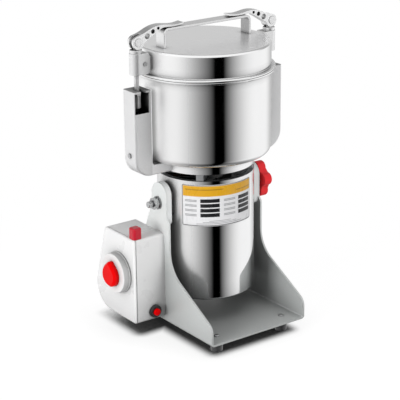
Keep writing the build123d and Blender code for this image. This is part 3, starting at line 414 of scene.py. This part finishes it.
def facing(tree, axis):
    """How far a face looks along an axis of the mill's own frame, from -1 to 1."""
    return share_along(tree, add(tree, "ShaderNodeTexCoord", "Normal"), axis)


def from_axis(tree, place):
    """How far a place is from the mill's upright axis, and the level direction, of length
    1, in which it lies from there."""
    level = vector_node(tree, "MULTIPLY",
                        vector_node(tree, "SUBTRACT", place, (MILL_X, MILL_Y, 0)), (1, 1, 0))
    outward = add(tree, "ShaderNodeVectorMath", settings={"operation": "NORMALIZE"}, input_0=level)
    return length(tree, level), outward


def turned(tree, place):
    """Coordinates in which marks run round the mill's axis: radius plus height in one
    direction, and a point on a small circle, by the compass direction, in the others."""
    radius, outward = from_axis(tree, place)
    climb = math_node(tree, "ADD", radius, height_of(tree, place))
    round_part = vector_node(tree, "MULTIPLY", outward, (RING_CIRCLE, RING_CIRCLE, 0))
    return vector_node(tree, "ADD", round_part, add(tree, "ShaderNodeCombineXYZ", Z=climb))


def bumped(tree, height, depth, normal=None):
    """A normal tilted by a height pattern that is depth metres deep."""
    inputs = {"Strength": 1.0, "Distance": depth, "Height": height}
    if normal is not None:
        inputs["Normal"] = normal
    return add(tree, "ShaderNodeBump", **inputs)


def rounded(tree, radius):
    """A normal that runs smoothly over a sharp edge, as if it were broken by radius."""
    return add(tree, "ShaderNodeBevel", settings={"samples": 6}, Radius=radius)


def painted_recess_shade(tree, reach, darkest, low=0.35, high=0.90):
    """Painted shade: a share from darkest to 1, multiplied into a finish's colour, that falls
    where other surfaces close in within reach: the bottom of a hole, the inside of a slot,
    the line where two pieces meet."""
    openness = add(tree, "ShaderNodeAmbientOcclusion", "AO", {"samples": 6}, Distance=reach)
    return between(tree, openness, low, high, darkest, 1.0)


def by_rise(tree, low, high, elsewhere, on_top):
    """A value that goes over from elsewhere to on_top on faces that look up."""
    return between(tree, facing(tree, (0, 0, 1)), low, high, elsewhere, on_top, smooth=True)


def facing_axis(tree, place, reach):
    """1 on faces within reach of the mill's axis that look back at it, and 0 elsewhere.
    Such faces stand close before the polished bowl or lid. Finishes paint light and shade
    by this mask: a glow and shade on such faces, standing in for the light that bowl or
    lid gives back."""
    radius, outward = from_axis(tree, place)
    return times(tree, between(tree, facing(tree, outward), LOOKS_IN_FROM, LOOKS_IN_TO, 1.0, 0.0),
                 between(tree, radius, reach - REACH_BLUR, reach + REACH_BLUR, 1.0, 0.0))


def shaded(tree, colour, share):
    """A colour times a brightness share, which paints light or shade into the colour."""
    return multiplied(tree, colour, grey_from(tree, share))


# %% [markdown]
# ### Polished steel
#
# The bowl, the lid and the drum are deep drawn stainless steel, spun against a polishing
# mop. The mop leaves rings too fine to see one by one, so they are a tiny bump and a
# small change of roughness, and faint smears cross them. The flat top of the lid is only
# brushed, so a handle standing on it fades out in it within its own height. The sides
# behind the arms and cheeks are hazier, so that they don't mirror those sharply. There
# the colour is painted paler and a faint glow is added, painted light that stands in for
# what polished neighbours give back. Painted shade darkens the colour where other pieces
# close in.

# %% Polished steel
BRUSHED_TOP = 0.22
# Strength of the painted glow on the hazy sides of polished steel.
SIDE_PAINTED_GLOW = 0.13


def polished_steel(name, reach, darkest, haze, haze_to, clear_from):
    """Mirror steel: bright metal, fine rings about the axis, and faint smears. Painted shade
    darkens its colour where other pieces close in within reach, for the shade that steel
    mirrors from them. At the two sides it is hazier by haze, which holds up to the share
    haze_to and is gone from clear_from: the share is how far a place lies to the front or
    back, 0 at the sides. There its colour is painted paler and it glows faintly, as
    painted light."""
    material, tree, place = new_finish(name)
    rings = noise(tree, turned(tree, place), 2600, 2.0)
    smears = noise(tree, stretched(tree, place, (1, 1, 0.35)), 38, 4.0)
    rough = math_node(tree, "ADD", between(tree, rings, 0.3, 0.7, 0.0, 0.03),
                      between(tree, smears, 0.35, 0.75, 0.045, 0.085))
    rough = math_node(tree, "ADD", rough, by_rise(tree, 0.93, 0.99, 0.0, BRUSHED_TOP))
    _, outward = from_axis(tree, place)
    front_share = math_node(tree, "ABSOLUTE", share_along(tree, outward, (0, 1, 0)))
    hazy = times(tree, between(tree, facing(tree, (0, 0, 1)), 0.3, 0.9, 1.0, 0.0),
                 between(tree, front_share, haze_to, clear_from, 1.0, 0.0, smooth=True))
    rough = math_node(tree, "ADD", rough, times(tree, hazy, haze))
    # Painted shade: a darker colour where other pieces close in.
    recess_shade_share = painted_recess_shade(tree, reach, darkest, 0.30, 0.98)
    tone = mixed(tree, between(tree, smears, 0.3, 0.7), (0.90, 0.90, 0.905, 1), (0.925, 0.925, 0.925, 1))
    # Painted light: a paler colour and a faint glow on the hazy sides.
    tone = mixed(tree, hazy, tone, grey(0.98))
    painted_side_glow = times(tree, times(tree, hazy, recess_shade_share), SIDE_PAINTED_GLOW)
    close_finish(tree, Base_Color=shaded(tree, tone, recess_shade_share), Metallic=1.0, Roughness=rough,
                 Emission_Color=grey(1.0), Emission_Strength=painted_side_glow, Normal=bumped(tree, rings, 1.2e-6))
    return material


# %% [markdown]
# ### Satin steel and plated castings
#
# The handle and the latch sleeves are brushed: long fine scratches along the piece. The
# levers are cast and plated, which leaves a soft swell in the reflection instead.

# %% Satin steel
INSIDE_LATCH = 0.1010


def satin_steel(name, metallic, smooth, coarse, painted_top_shade, reach=0.005, darkest=0.50,
                inner=1.0, painted_glow=0.0):
    """Brushed steel: scratches along X, which is the handle's length. Its roughness wanders
    between smooth and coarse, and a lower metallic share makes it a milky plating.
    Painted shade darkens its colour where other pieces close in within reach, down to
    darkest, and on faces that look up, down to the fifth argument's share. Faces within
    INSIDE_LATCH of the mill's axis that look back at it get the painted shade share inner
    and an emission of the last argument's strength, a painted glow for the light that the
    lid beside them gives back."""
    material, tree, place = new_finish(name)
    scratches = noise(tree, stretched(tree, place, (0.03, 1, 1)), 3800, 3.0)
    patches = noise(tree, place, 60, 2.0)
    rough = math_node(tree, "ADD", between(tree, scratches, 0.3, 0.7, 0.0, 0.08),
                      between(tree, patches, 0.3, 0.7, smooth, coarse))
    tone = mixed(tree, scratches, (0.82, 0.82, 0.825, 1), (0.90, 0.90, 0.90, 1))
    # Painted shade in recesses and on faces that look up.
    share = times(tree, painted_recess_shade(tree, reach, darkest, 0.40, 0.95),
                  by_rise(tree, 0.45, 0.90, 1.0, painted_top_shade))
    # Painted shade and a painted glow on faces that look back at the mill's axis.
    looks_in = facing_axis(tree, place, INSIDE_LATCH)
    share = times(tree, share, between(tree, looks_in, 0, 1, 1.0, inner))
    painted_bounce_light = times(tree, looks_in, painted_glow)
    close_finish(tree, Base_Color=shaded(tree, tone, share), Metallic=metallic, Roughness=rough,
                 Emission_Color=grey(1.0), Emission_Strength=painted_bounce_light,
                 Normal=bumped(tree, scratches, 3e-6, normal=rounded(tree, 0.0006)))
    return material


def cast_zinc():
    """A plated casting: bright, with a slow swell and a few small pits. Painted shade darkens
    it in recesses and on faces that look up.
    """
    material, tree, place = new_finish("cast_zinc")
    swell = noise(tree, place, 260, 3.0)
    pits = noise(tree, place, 1500, 1.0)
    height = math_node(tree, "ADD", swell, between(tree, pits, 0.28, 0.34, -0.25, 0.0))
    rough = between(tree, swell, 0.3, 0.7, 0.10, 0.20)
    tone = mixed(tree, swell, (0.91, 0.91, 0.915, 1), (0.97, 0.97, 0.97, 1))
    # Painted shade in recesses and on faces that look up.
    share = times(tree, painted_recess_shade(tree, 0.006, 0.03, 0.36, 0.82),
                  by_rise(tree, 0.45, 0.90, 1.0, 0.50))
    close_finish(tree, Base_Color=shaded(tree, tone, share), Metallic=0.75, Roughness=rough,
                 Normal=bumped(tree, height, 3e-5, normal=rounded(tree, 0.0007)))
    return material


# %% [markdown]
# ### Enamel
#
# The base and the control box are bent sheet steel under baked enamel. Sprayed enamel
# dries with a fine orange peel, and it runs thin on a sharp edge, where it looks a
# little paler. The arms are lacquered silver instead, with a pocket cut into each.
#
# Both get painted shade where they are shut in. On enamelled outsides high up most of
# that painted shade is let go, and on the base and the cheek pads the colour is painted
# lighter there.

# %% Enamel
HIGH_FROM, HIGH_TO = 0.085, 0.150
WHOLE_MILL = 0.2
# How much of the painted shade is let go on the enamelled outsides high up.
PAINTED_SHADE_LET_GO = 0.85
SCUFF_SHARE = 0.35
ARM_INNER = 0.088
POCKET_FROM, POCKET_TO = 0.0004, 0.0010
# Strength and heights of the painted glow on the arms' inner walls.
ARM_PAINTED_GLOW = 0.48
PAINTED_GLOW_FROM, PAINTED_GLOW_TO = 0.236, 0.244


def enamel(name, tone, worn_tone, roughness, peel_depth, reach, darkest, painted_high_light=1.0):
    """Baked enamel: orange peel, a slow unevenness of gloss, and paler thin edges. Painted
    shade darkens it where it is shut in within reach, down to darkest. On the outsides
    high up most of that painted shade is let go, and the colour is multiplied by the last
    argument, as painted light."""
    material, tree, place = new_finish(name)
    peel = noise(tree, place, 900, 2.0)
    cloud = noise(tree, place, 26, 3.0)
    soft_normal = rounded(tree, 0.0008)
    flatness = share_along(tree, soft_normal, add(tree, "ShaderNodeNewGeometry", "Normal"))
    edge = between(tree, flatness, 0.80, 0.97, 1.0, 0.0)
    scuffed = times(tree, edge, between(tree, noise(tree, place, 420), 0.4, 0.6))
    even = mixed(tree, between(tree, cloud, 0.3, 0.7), grey(0.985), grey(1.0))
    body = multiplied(tree, (*tone, 1), even)
    colour = mixed(tree, times(tree, scuffed, SCUFF_SHARE), body, (*worn_tone, 1))
    rough = between(tree, cloud, 0.3, 0.7, roughness - 0.015, roughness + 0.02)
    # Painted shade where it is shut in, and painted light on the outsides high up.
    looks_out = between(tree, facing_axis(tree, place, WHOLE_MILL), 0, 1, 1.0, 0.0)
    free = times(tree, looks_out, between(tree, height_of(tree, place), HIGH_FROM, HIGH_TO))
    closed = painted_recess_shade(tree, reach, darkest, 0.25, 0.97)
    share = mixed_value(tree, times(tree, free, PAINTED_SHADE_LET_GO), closed, 1.0)
    share = times(tree, share, between(tree, free, 0, 1, 1.0, painted_high_light))
    close_finish(tree, Base_Color=shaded(tree, colour, share), Roughness=rough,
                 Specular_IOR_Level=0.5, Normal=bumped(tree, peel, peel_depth, normal=soft_normal))
    return material


def arm_lacquer():
    """Silver lacquer on the side arms: fine flakes, a satin shine and well rounded edges.
    Inside the pocket painted shade darkens it where it is shut in, and faces that look up
    are painted darker. The wall that faces the bowl, high up, gets a painted glow for the
    bowl's own light that it would get back."""
    material, tree, place = new_finish("arm_paint")
    flakes = noise(tree, place, 1800, 1.0)
    cloud = noise(tree, place, 30, 3.0)
    tone = mixed(tree, between(tree, flakes, 0.35, 0.65), (0.76, 0.76, 0.77, 1), (0.80, 0.80, 0.80, 1))
    rough = between(tree, cloud, 0.3, 0.7, 0.38, 0.44)
    off_axis = share_along(tree, vector_node(tree, "SUBTRACT", place, (MILL_X, MILL_Y, 0)), (1, 0, 0))
    in_pocket = between(tree, math_node(tree, "ABSOLUTE", off_axis),
                        ARM_INNER + POCKET_FROM, ARM_INNER + POCKET_TO)
    # Painted shade inside the pocket and on faces that look up.
    closed = times(tree, painted_recess_shade(tree, 0.030, 0.01, 0.38, 0.72), painted_recess_shade(tree, 0.055, 0.22, 0.48, 1.0))
    share = times(tree, mixed_value(tree, in_pocket, 1.0, closed),
                  by_rise(tree, 0.80, 0.97, 1.0, 0.50))
    # Painted glow on the wall that faces the bowl.
    beside_bowl = between(tree, height_of(tree, place), PAINTED_GLOW_FROM, PAINTED_GLOW_TO)
    painted_glow = times(tree, math_node(tree, "SUBTRACT", 1.0, in_pocket), beside_bowl)
    close_finish(tree, Base_Color=shaded(tree, tone, share), Metallic=0.6, Roughness=rough,
                 Emission_Color=grey(1.0), Emission_Strength=times(tree, painted_glow, ARM_PAINTED_GLOW),
                 Normal=bumped(tree, flakes, 8e-7, normal=rounded(tree, 0.0014)))
    return material


# %% [markdown]
# ### Other metals
#
# Bolts are zinc plated, which is greyer than steel and faintly mottled. The motor's
# frame is cast aluminium as it leaves the mould. The blades are ground, with scratches
# across them, and the windings are enamelled copper over dark steel sheets.

# %% Other metals


def plain_metal(name, dark, light, scale, squeeze, roughness, depth):
    """Bare or plated metal, with one pattern of marks squeezed along an axis. Painted shade
    darkens it in recesses.
    """
    material, tree, place = new_finish(name)
    marks = noise(tree, stretched(tree, place, squeeze), scale, 4.0)
    mottle = noise(tree, place, scale / 6, 2.0)
    tone = mixed(tree, times(tree, marks, between(tree, mottle, 0.2, 0.8, 0.7, 1.3)),
                 (*dark, 1), (*light, 1))
    rough = between(tree, mottle, 0.3, 0.7, roughness - 0.06, roughness + 0.06)
    # Painted shade in recesses.
    close_finish(tree, Base_Color=shaded(tree, tone, painted_recess_shade(tree, 0.005, 0.15)), Metallic=1.0,
                 Roughness=rough, Normal=bumped(tree, marks, depth, normal=rounded(tree, 0.0003)))
    return material


def copper_winding():
    """Enamelled copper wire: fine ridges that run slantwise, dark between them."""
    material, tree, place = new_finish("copper_winding")
    wires = add(tree, "ShaderNodeTexWave", "Fac", {"bands_direction": "DIAGONAL"}, Vector=place,
                Scale=420, Distortion=2.0, Detail=2.0)
    tone = mixed(tree, wires, (0.22, 0.09, 0.04, 1), (0.75, 0.38, 0.18, 1))
    close_finish(tree, Base_Color=tone, Metallic=0.9, Roughness=between(tree, wires, 0, 1, 0.45, 0.3),
                 Normal=bumped(tree, wires, 4e-5))
    return material


# %% [markdown]
# ### Mouldings
#
# Moulded plastic copies its mould. A gloss moulding shows a slow shrinkage under its
# shine and a matte one the grain that was etched in the steel. The red lens is clear
# plastic dyed through, so light goes into it and comes back deep red.

# %% Mouldings


def moulding(name, tone, roughness, grain_scale, grain_depth, edge=0.0005, subsurface=0.0,
             reach=0.005, darkest=0.45, shine=0.5, painted_rim_shade=1.0):
    """Moulded plastic: an etched grain, a slow unevenness of tone and rounded edges. Painted
    shade darkens it where it is shut in within reach, down to darkest. A rim, which is a
    wall that doesn't face out to the left towards the key lamp, gets painted shade: its
    colour is multiplied by the last argument."""
    material, tree, place = new_finish(name)
    grain = noise(tree, place, grain_scale, 2.0)
    cloud = noise(tree, place, 55, 2.0)
    darker = tuple(part * 0.90 for part in tone)
    colour = mixed(tree, between(tree, cloud, 0.3, 0.7), (*darker, 1), (*tone, 1))
    rough = between(tree, cloud, 0.3, 0.7, roughness - 0.04, roughness + 0.05)
    # Painted shade in recesses and on rims that don't face the key lamp.
    share = times(tree, painted_recess_shade(tree, reach, darkest, 0.30, 0.95),
                  between(tree, facing(tree, (-1, 0, 0)), 0.2, 0.9, painted_rim_shade, 1.0))
    close_finish(tree, Base_Color=shaded(tree, colour, share), Roughness=rough,
                 Specular_IOR_Level=shine, Subsurface_Weight=subsurface, Subsurface_Scale=0.002,
                 Normal=bumped(tree, grain, grain_depth, normal=rounded(tree, edge)))
    return material


def lamp_lens():
    """A dyed clear lens: part of the light goes in, the rest is a red body and shine."""
    material, tree, place = new_finish("lamp_red")
    facets = noise(tree, place, 700, 1.0)
    colour = mixed(tree, facets, (0.50, 0.008, 0.025, 1), (0.70, 0.02, 0.045, 1))
    close_finish(tree, Base_Color=colour, Roughness=between(tree, facets, 0, 1, 0.10, 0.22),
                 Transmission_Weight=0.15, Specular_IOR_Level=0.35,
                 Normal=bumped(tree, facets, 2e-5, normal=rounded(tree, 0.0006)))
    return material


# %% [markdown]
# ## Dressing the CAD nodes
#
# The record names a material slot for every node, and the frame's objects carry that
# slot's name as their material. So one table from slot to finish dresses the whole mill,
# and a second one gives a few pieces a finish of their own.

# %% Dress the frame
# The numbers below also set each finish's painted shade, and for the base its painted light high up.
finishes = {
    "polished_steel": polished_steel("polished_steel", 0.010, 0.25, 0.42, 0.45, 0.82),
    "satin_steel": satin_steel("satin_steel", 1.0, 0.20, 0.27, 0.78, darkest=0.65, inner=0.55),
    "cast_zinc": cast_zinc(),
    "base_paint": enamel("base_paint", (0.55, 0.568, 0.562), (0.70, 0.70, 0.70), 0.34, 6e-6, 0.075, 0.42,
                         painted_high_light=1.35),
    "box_paint": enamel("box_paint", (0.84, 0.84, 0.84), (0.90, 0.90, 0.90), 0.28, 5e-6, 0.070, 0.30),
    "arm_paint": arm_lacquer(),
    "cast_aluminium": plain_metal("cast_aluminium", (0.44, 0.45, 0.46), (0.66, 0.67, 0.68),
                                  900, (1, 1, 1), 0.46, 3e-5),
    "bolt_steel": plain_metal("bolt_steel", (0.34, 0.35, 0.36), (0.68, 0.68, 0.68),
                              2200, (1, 0.2, 0.2), 0.28, 6e-6),
    "tool_steel": plain_metal("tool_steel", (0.50, 0.50, 0.51), (0.78, 0.78, 0.78),
                              3000, (1, 0.06, 1), 0.24, 5e-6),
    "copper_winding": copper_winding(),
    "red_gloss": moulding("red_gloss", (0.84, 0.000, 0.001), 0.36, 300, 6e-6, shine=0.08),
    "knob_red": moulding("knob_red", (0.92, 0.022, 0.030), 0.38, 1600, 1.2e-5, edge=0.0012, shine=0.38),
    "lamp_red": lamp_lens(),
    "white_plastic": moulding("white_plastic", (0.86, 0.86, 0.86), 0.32, 400, 5e-6, reach=0.020, darkest=0.05,
                              painted_rim_shade=0.66),
    "black_plastic": moulding("black_plastic", (0.022, 0.022, 0.023), 0.40, 1800, 1.2e-5),
    "foot_rubber": moulding("foot_rubber", (0.05, 0.05, 0.052), 0.20, 1300, 4e-6),
    "silicone": moulding("silicone", (0.66, 0.67, 0.67), 0.38, 500, 1e-5, subsurface=0.2),
}
# The latch plates get painted shade and a painted glow, stronger on the left one, and the lever pins painted
# shade on their tops.
latch_plate = satin_steel("latch_plate", 0.85, 0.26, 0.34, 0.70, 0.014, 0.20, painted_glow=0.40)
latch_plate_right = satin_steel("latch_plate_right", 0.85, 0.26, 0.34, 0.70, 0.014, 0.20, painted_glow=0.20)
pin_steel = satin_steel("pin_steel", 0.60, 0.26, 0.34, 0.85)
# The cheek pads are the base's grey enamel, as a paler copy with less painted shade: painted light on them.
lit_pad_paint = enamel("lit_pad_paint", (0.62, 0.632, 0.63), (0.74, 0.74, 0.74), 0.34, 6e-6, 0.010, 0.60,
                   painted_high_light=1.30)
# The pivot bosses get a dark finish: painted shade where they sit between cheek and drum.
shade_dark_casting = plain_metal("shade_dark_casting", (0.10, 0.10, 0.105), (0.22, 0.22, 0.22), 900, (1, 1, 1), 0.5, 2e-5)
own_finish = {
    # Long-reaching painted shade on the drum's polished steel.
    "motor_can": polished_steel("drum_steel", 0.055, 0.10, 0.24, 0.50, 0.89),
    "left_latch_sleeve": latch_plate,
    "right_latch_sleeve": latch_plate_right,
    "left_rod": latch_plate,
    "right_rod": latch_plate,
    "left_cheek_pad": lit_pad_paint,
    "right_cheek_pad": lit_pad_paint,
    "left_pivot_boss": shade_dark_casting,
    "right_pivot_boss": shade_dark_casting,
    "left_lever_pin": pin_steel,
    "right_lever_pin": pin_steel,
}
dressed = 0
for node_name, node_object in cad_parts.items():
    for place_in_list, cad_material in enumerate(node_object.data.materials):
        slot_finish = finishes[cad_material.name.split(".")[0]]
        node_object.data.materials[place_in_list] = own_finish.get(node_name, slot_finish)
        dressed += 1
print("nodes dressed", dressed)
for finish_name, finish in finishes.items():
    print(finish_name, "has", len(finish.node_tree.nodes), "shader nodes")

# %% [markdown]
# ## Making a surface
#
# A new piece is a grid of points that a formula gives for two running numbers. The grid
# becomes a mesh in one go: neighbouring points make the corners of a quad. A row runs
# once round the piece, so its last point joins its first again, and the first and the
# last row are each shut by a cap.

# %% Surface from a grid


def closed_tube(name, points, uv, finish, body):
    """Makes a mesh object from an array of points, rows by columns by 3. Each row closes
    on itself and caps shut both ends. uv gives each point's place on the piece's own map,
    in metres. The piece rides on that body."""
    rows, columns = points.shape[:2]
    index = np.arange(rows * columns).reshape(rows, columns)
    row_from, row_to = index[:-1], index[1:]
    quads = [row_from, row_to, np.roll(row_to, -1, 1), np.roll(row_from, -1, 1)]
    faces = np.stack(quads, -1).reshape(-1, 4).tolist()
    faces += [index[0].tolist(), index[-1][::-1].tolist()]
    mesh = bpy.data.meshes.new(name)
    mesh.from_pydata(points.reshape(-1, 3).tolist(), [], faces)
    layer = mesh.uv_layers.new(name="piece")
    corners = np.zeros(len(mesh.loops), np.int32)
    mesh.loops.foreach_get("vertex_index", corners)
    layer.data.foreach_set("uv", uv.reshape(-1, 2)[corners].astype(np.float32).ravel())
    mesh.polygons.foreach_set("use_smooth", np.full(len(mesh.polygons), True))
    mesh.materials.append(finish)
    mesh.validate()
    made = bpy.data.objects.new(name, mesh)
    bpy.context.scene.collection.objects.link(made)
    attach(made, body)
    print(name, "faces", len(mesh.polygons))


# %% [markdown]
# ## Label film on the drum
#
# The drum carries a printed film with rounded corners: an amber band over a white field
# with blank dark boxes and fine grey rules, which stand in for a table without words. It
# is a thin curved plate. Seen flat, its half height shrinks near both ends along a
# quarter circle, which rounds the corners, and the flat shape is then wound on the drum.
# The print follows the film's own map, so it needs no picture.

# %% Label film
LABEL_LEFT_OF_FRONT = math.radians(19.0)
LABEL_SPAN = math.radians(91.5)
LABEL_LOW, LABEL_HIGH = 0.1475, 0.2010
LABEL_CORNER = 0.003
LABEL_THICK = 0.00022
LABEL_GAP = 0.00002
HALF_LENGTH, HALF_HEIGHT = LABEL_SPAN * CAN_R / 2, (LABEL_HIGH - LABEL_LOW) / 2
LINE_OUTER, LINE_INNER, BAND_EDGE = 0.0004, 0.0014, 0.0016
BAND_HALF = 0.0066
FIRST_ROW, ROW_STEP, ROWS = 0.0205, 0.0062, 4
BOXES = ((-0.0130, 0.0120), (0.0350, 0.0100))
RULES = ((-0.0370, 0.0075), (0.0125, 0.0080))
RULE_SHIFT = 0.0008
CORNER_POINTS, LENGTH_POINTS, HEIGHT_POINTS = 9, 97, 13
EDGE_SOFT_SHARE = 0.35


def label_print():
    """The film's print, drawn with plain rectangles on its own map in metres."""
    material, tree, _ = new_finish("label_print")
    split = tree.nodes.new("ShaderNodeSeparateXYZ")
    tree.links.new(add(tree, "ShaderNodeTexCoord", "UV"), split.inputs[0])
    across_film, up_film = split.outputs["X"], split.outputs["Y"]

    def rectangle(middle_u, middle_v, half_u, half_v, blur=0.00018):
        """1 inside a rectangle and 0 outside, with a narrow soft edge."""
        sides = []
        for value, middle, half in ((across_film, middle_u, half_u), (up_film, middle_v, half_v)):
            gap = math_node(tree, "ABSOLUTE", math_node(tree, "SUBTRACT", value, middle))
            sides.append(between(tree, gap, half - blur, half + blur, 1.0, 0.0))
        return times(tree, *sides)

    def rectangles(places):
        """1 inside any of several rectangles."""
        either = None
        for place in places:
            one = rectangle(*place)
            either = one if either is None else math_node(tree, "MAXIMUM", either, one)
        return either

    speckle = noise(tree, add(tree, "ShaderNodeTexCoord", "UV"), 2500, 1.0)
    white = mixed(tree, speckle, (0.72, 0.72, 0.735, 1), (0.78, 0.78, 0.79, 1))
    inside = rectangle(0, 0, HALF_LENGTH - LINE_OUTER, HALF_HEIGHT - LINE_OUTER)
    within_line = rectangle(0, 0, HALF_LENGTH - LINE_INNER, HALF_HEIGHT - LINE_INNER)
    frame_line = math_node(tree, "SUBTRACT", inside, within_line)
    amber = mixed(tree, speckle, (0.63, 0.31, 0.006, 1), (0.73, 0.39, 0.010, 1))
    band = rectangle(0, HALF_HEIGHT - BAND_EDGE - BAND_HALF, HALF_LENGTH - BAND_EDGE, BAND_HALF)
    colour = mixed(tree, band, white, amber)
    stripes = rectangles([(-0.020, HALF_HEIGHT - 0.0062, 0.024, 0.0006),
                          (0.034, HALF_HEIGHT - 0.0100, 0.012, 0.0006)])
    colour = mixed(tree, times(tree, stripes, 0.6), colour, (0.16, 0.08, 0.01, 1))
    levels = [HALF_HEIGHT - FIRST_ROW - row * ROW_STEP for row in range(ROWS)]
    boxes = [(middle_u, level, half, 0.0024) for level in levels for middle_u, half in BOXES]
    colour = mixed(tree, rectangles(boxes), colour, (0.012, 0.012, 0.014, 1))
    rules = [(middle_u, level + shift, half, 0.00045) for level in levels
             for middle_u, half in RULES for shift in (-RULE_SHIFT, RULE_SHIFT)]
    foot_rules = [(0.0, 0.0032 - HALF_HEIGHT + step * 0.0018, 0.030 - step * 0.008, 0.0003)
                  for step in range(3)]
    colour = mixed(tree, times(tree, rectangles(rules + foot_rules), 0.85), colour,
                   (0.16, 0.16, 0.17, 1))
    colour = mixed(tree, times(tree, frame_line, 0.85), colour, (0.05, 0.05, 0.05, 1))
    creases = noise(tree, stretched(tree, add(tree, "ShaderNodeTexCoord", "UV"), (1, 0.3, 1)), 90, 3.0)
    close_finish(tree, Base_Color=colour, Roughness=between(tree, creases, 0.3, 0.7, 0.22, 0.34),
                 Normal=bumped(tree, creases, 2e-5))
    return material


def label_film():
    """A closed film wound on the drum. Across its section it runs in, out and back round
    the film's edge, and along its length it follows the drum."""
    turn = np.linspace(0, math.pi / 2, CORNER_POINTS)
    corner = HALF_LENGTH - LABEL_CORNER * (1 - np.sin(turn))
    straight = np.linspace(-corner[0], corner[0], LENGTH_POINTS)
    stations = np.unique(np.concatenate([-corner, straight, corner]))
    into_corner = np.clip((np.abs(stations) - (HALF_LENGTH - LABEL_CORNER)) / LABEL_CORNER, 0, 1)
    tall = HALF_HEIGHT - LABEL_CORNER * (1 - np.sqrt(1 - into_corner**2))
    inner, outer = CAN_R + LABEL_GAP, CAN_R + LABEL_GAP + LABEL_THICK
    soft = LABEL_THICK * EDGE_SOFT_SHARE
    up_share = np.concatenate([[-1, -1], np.linspace(-1, 1, HEIGHT_POINTS), [1, 1]])
    depth = np.concatenate([[inner, outer - soft], np.full(HEIGHT_POINTS, outer), [outer - soft, inner]])
    inset = np.concatenate([[0, 0], [soft], np.zeros(HEIGHT_POINTS - 2), [-soft], [0, 0]])
    u = stations[:, None] + np.zeros(len(up_share))
    v = tall[:, None] * up_share + inset
    angle = u / CAN_R - LABEL_LEFT_OF_FRONT
    middle = (LABEL_LOW + LABEL_HIGH) / 2
    points = np.stack([MILL_X + depth * np.sin(angle), MILL_Y - depth * np.cos(angle), middle + v], -1)
    closed_tube("label_film", points, np.stack([u, v], -1), label_print(), "head")


label_film()
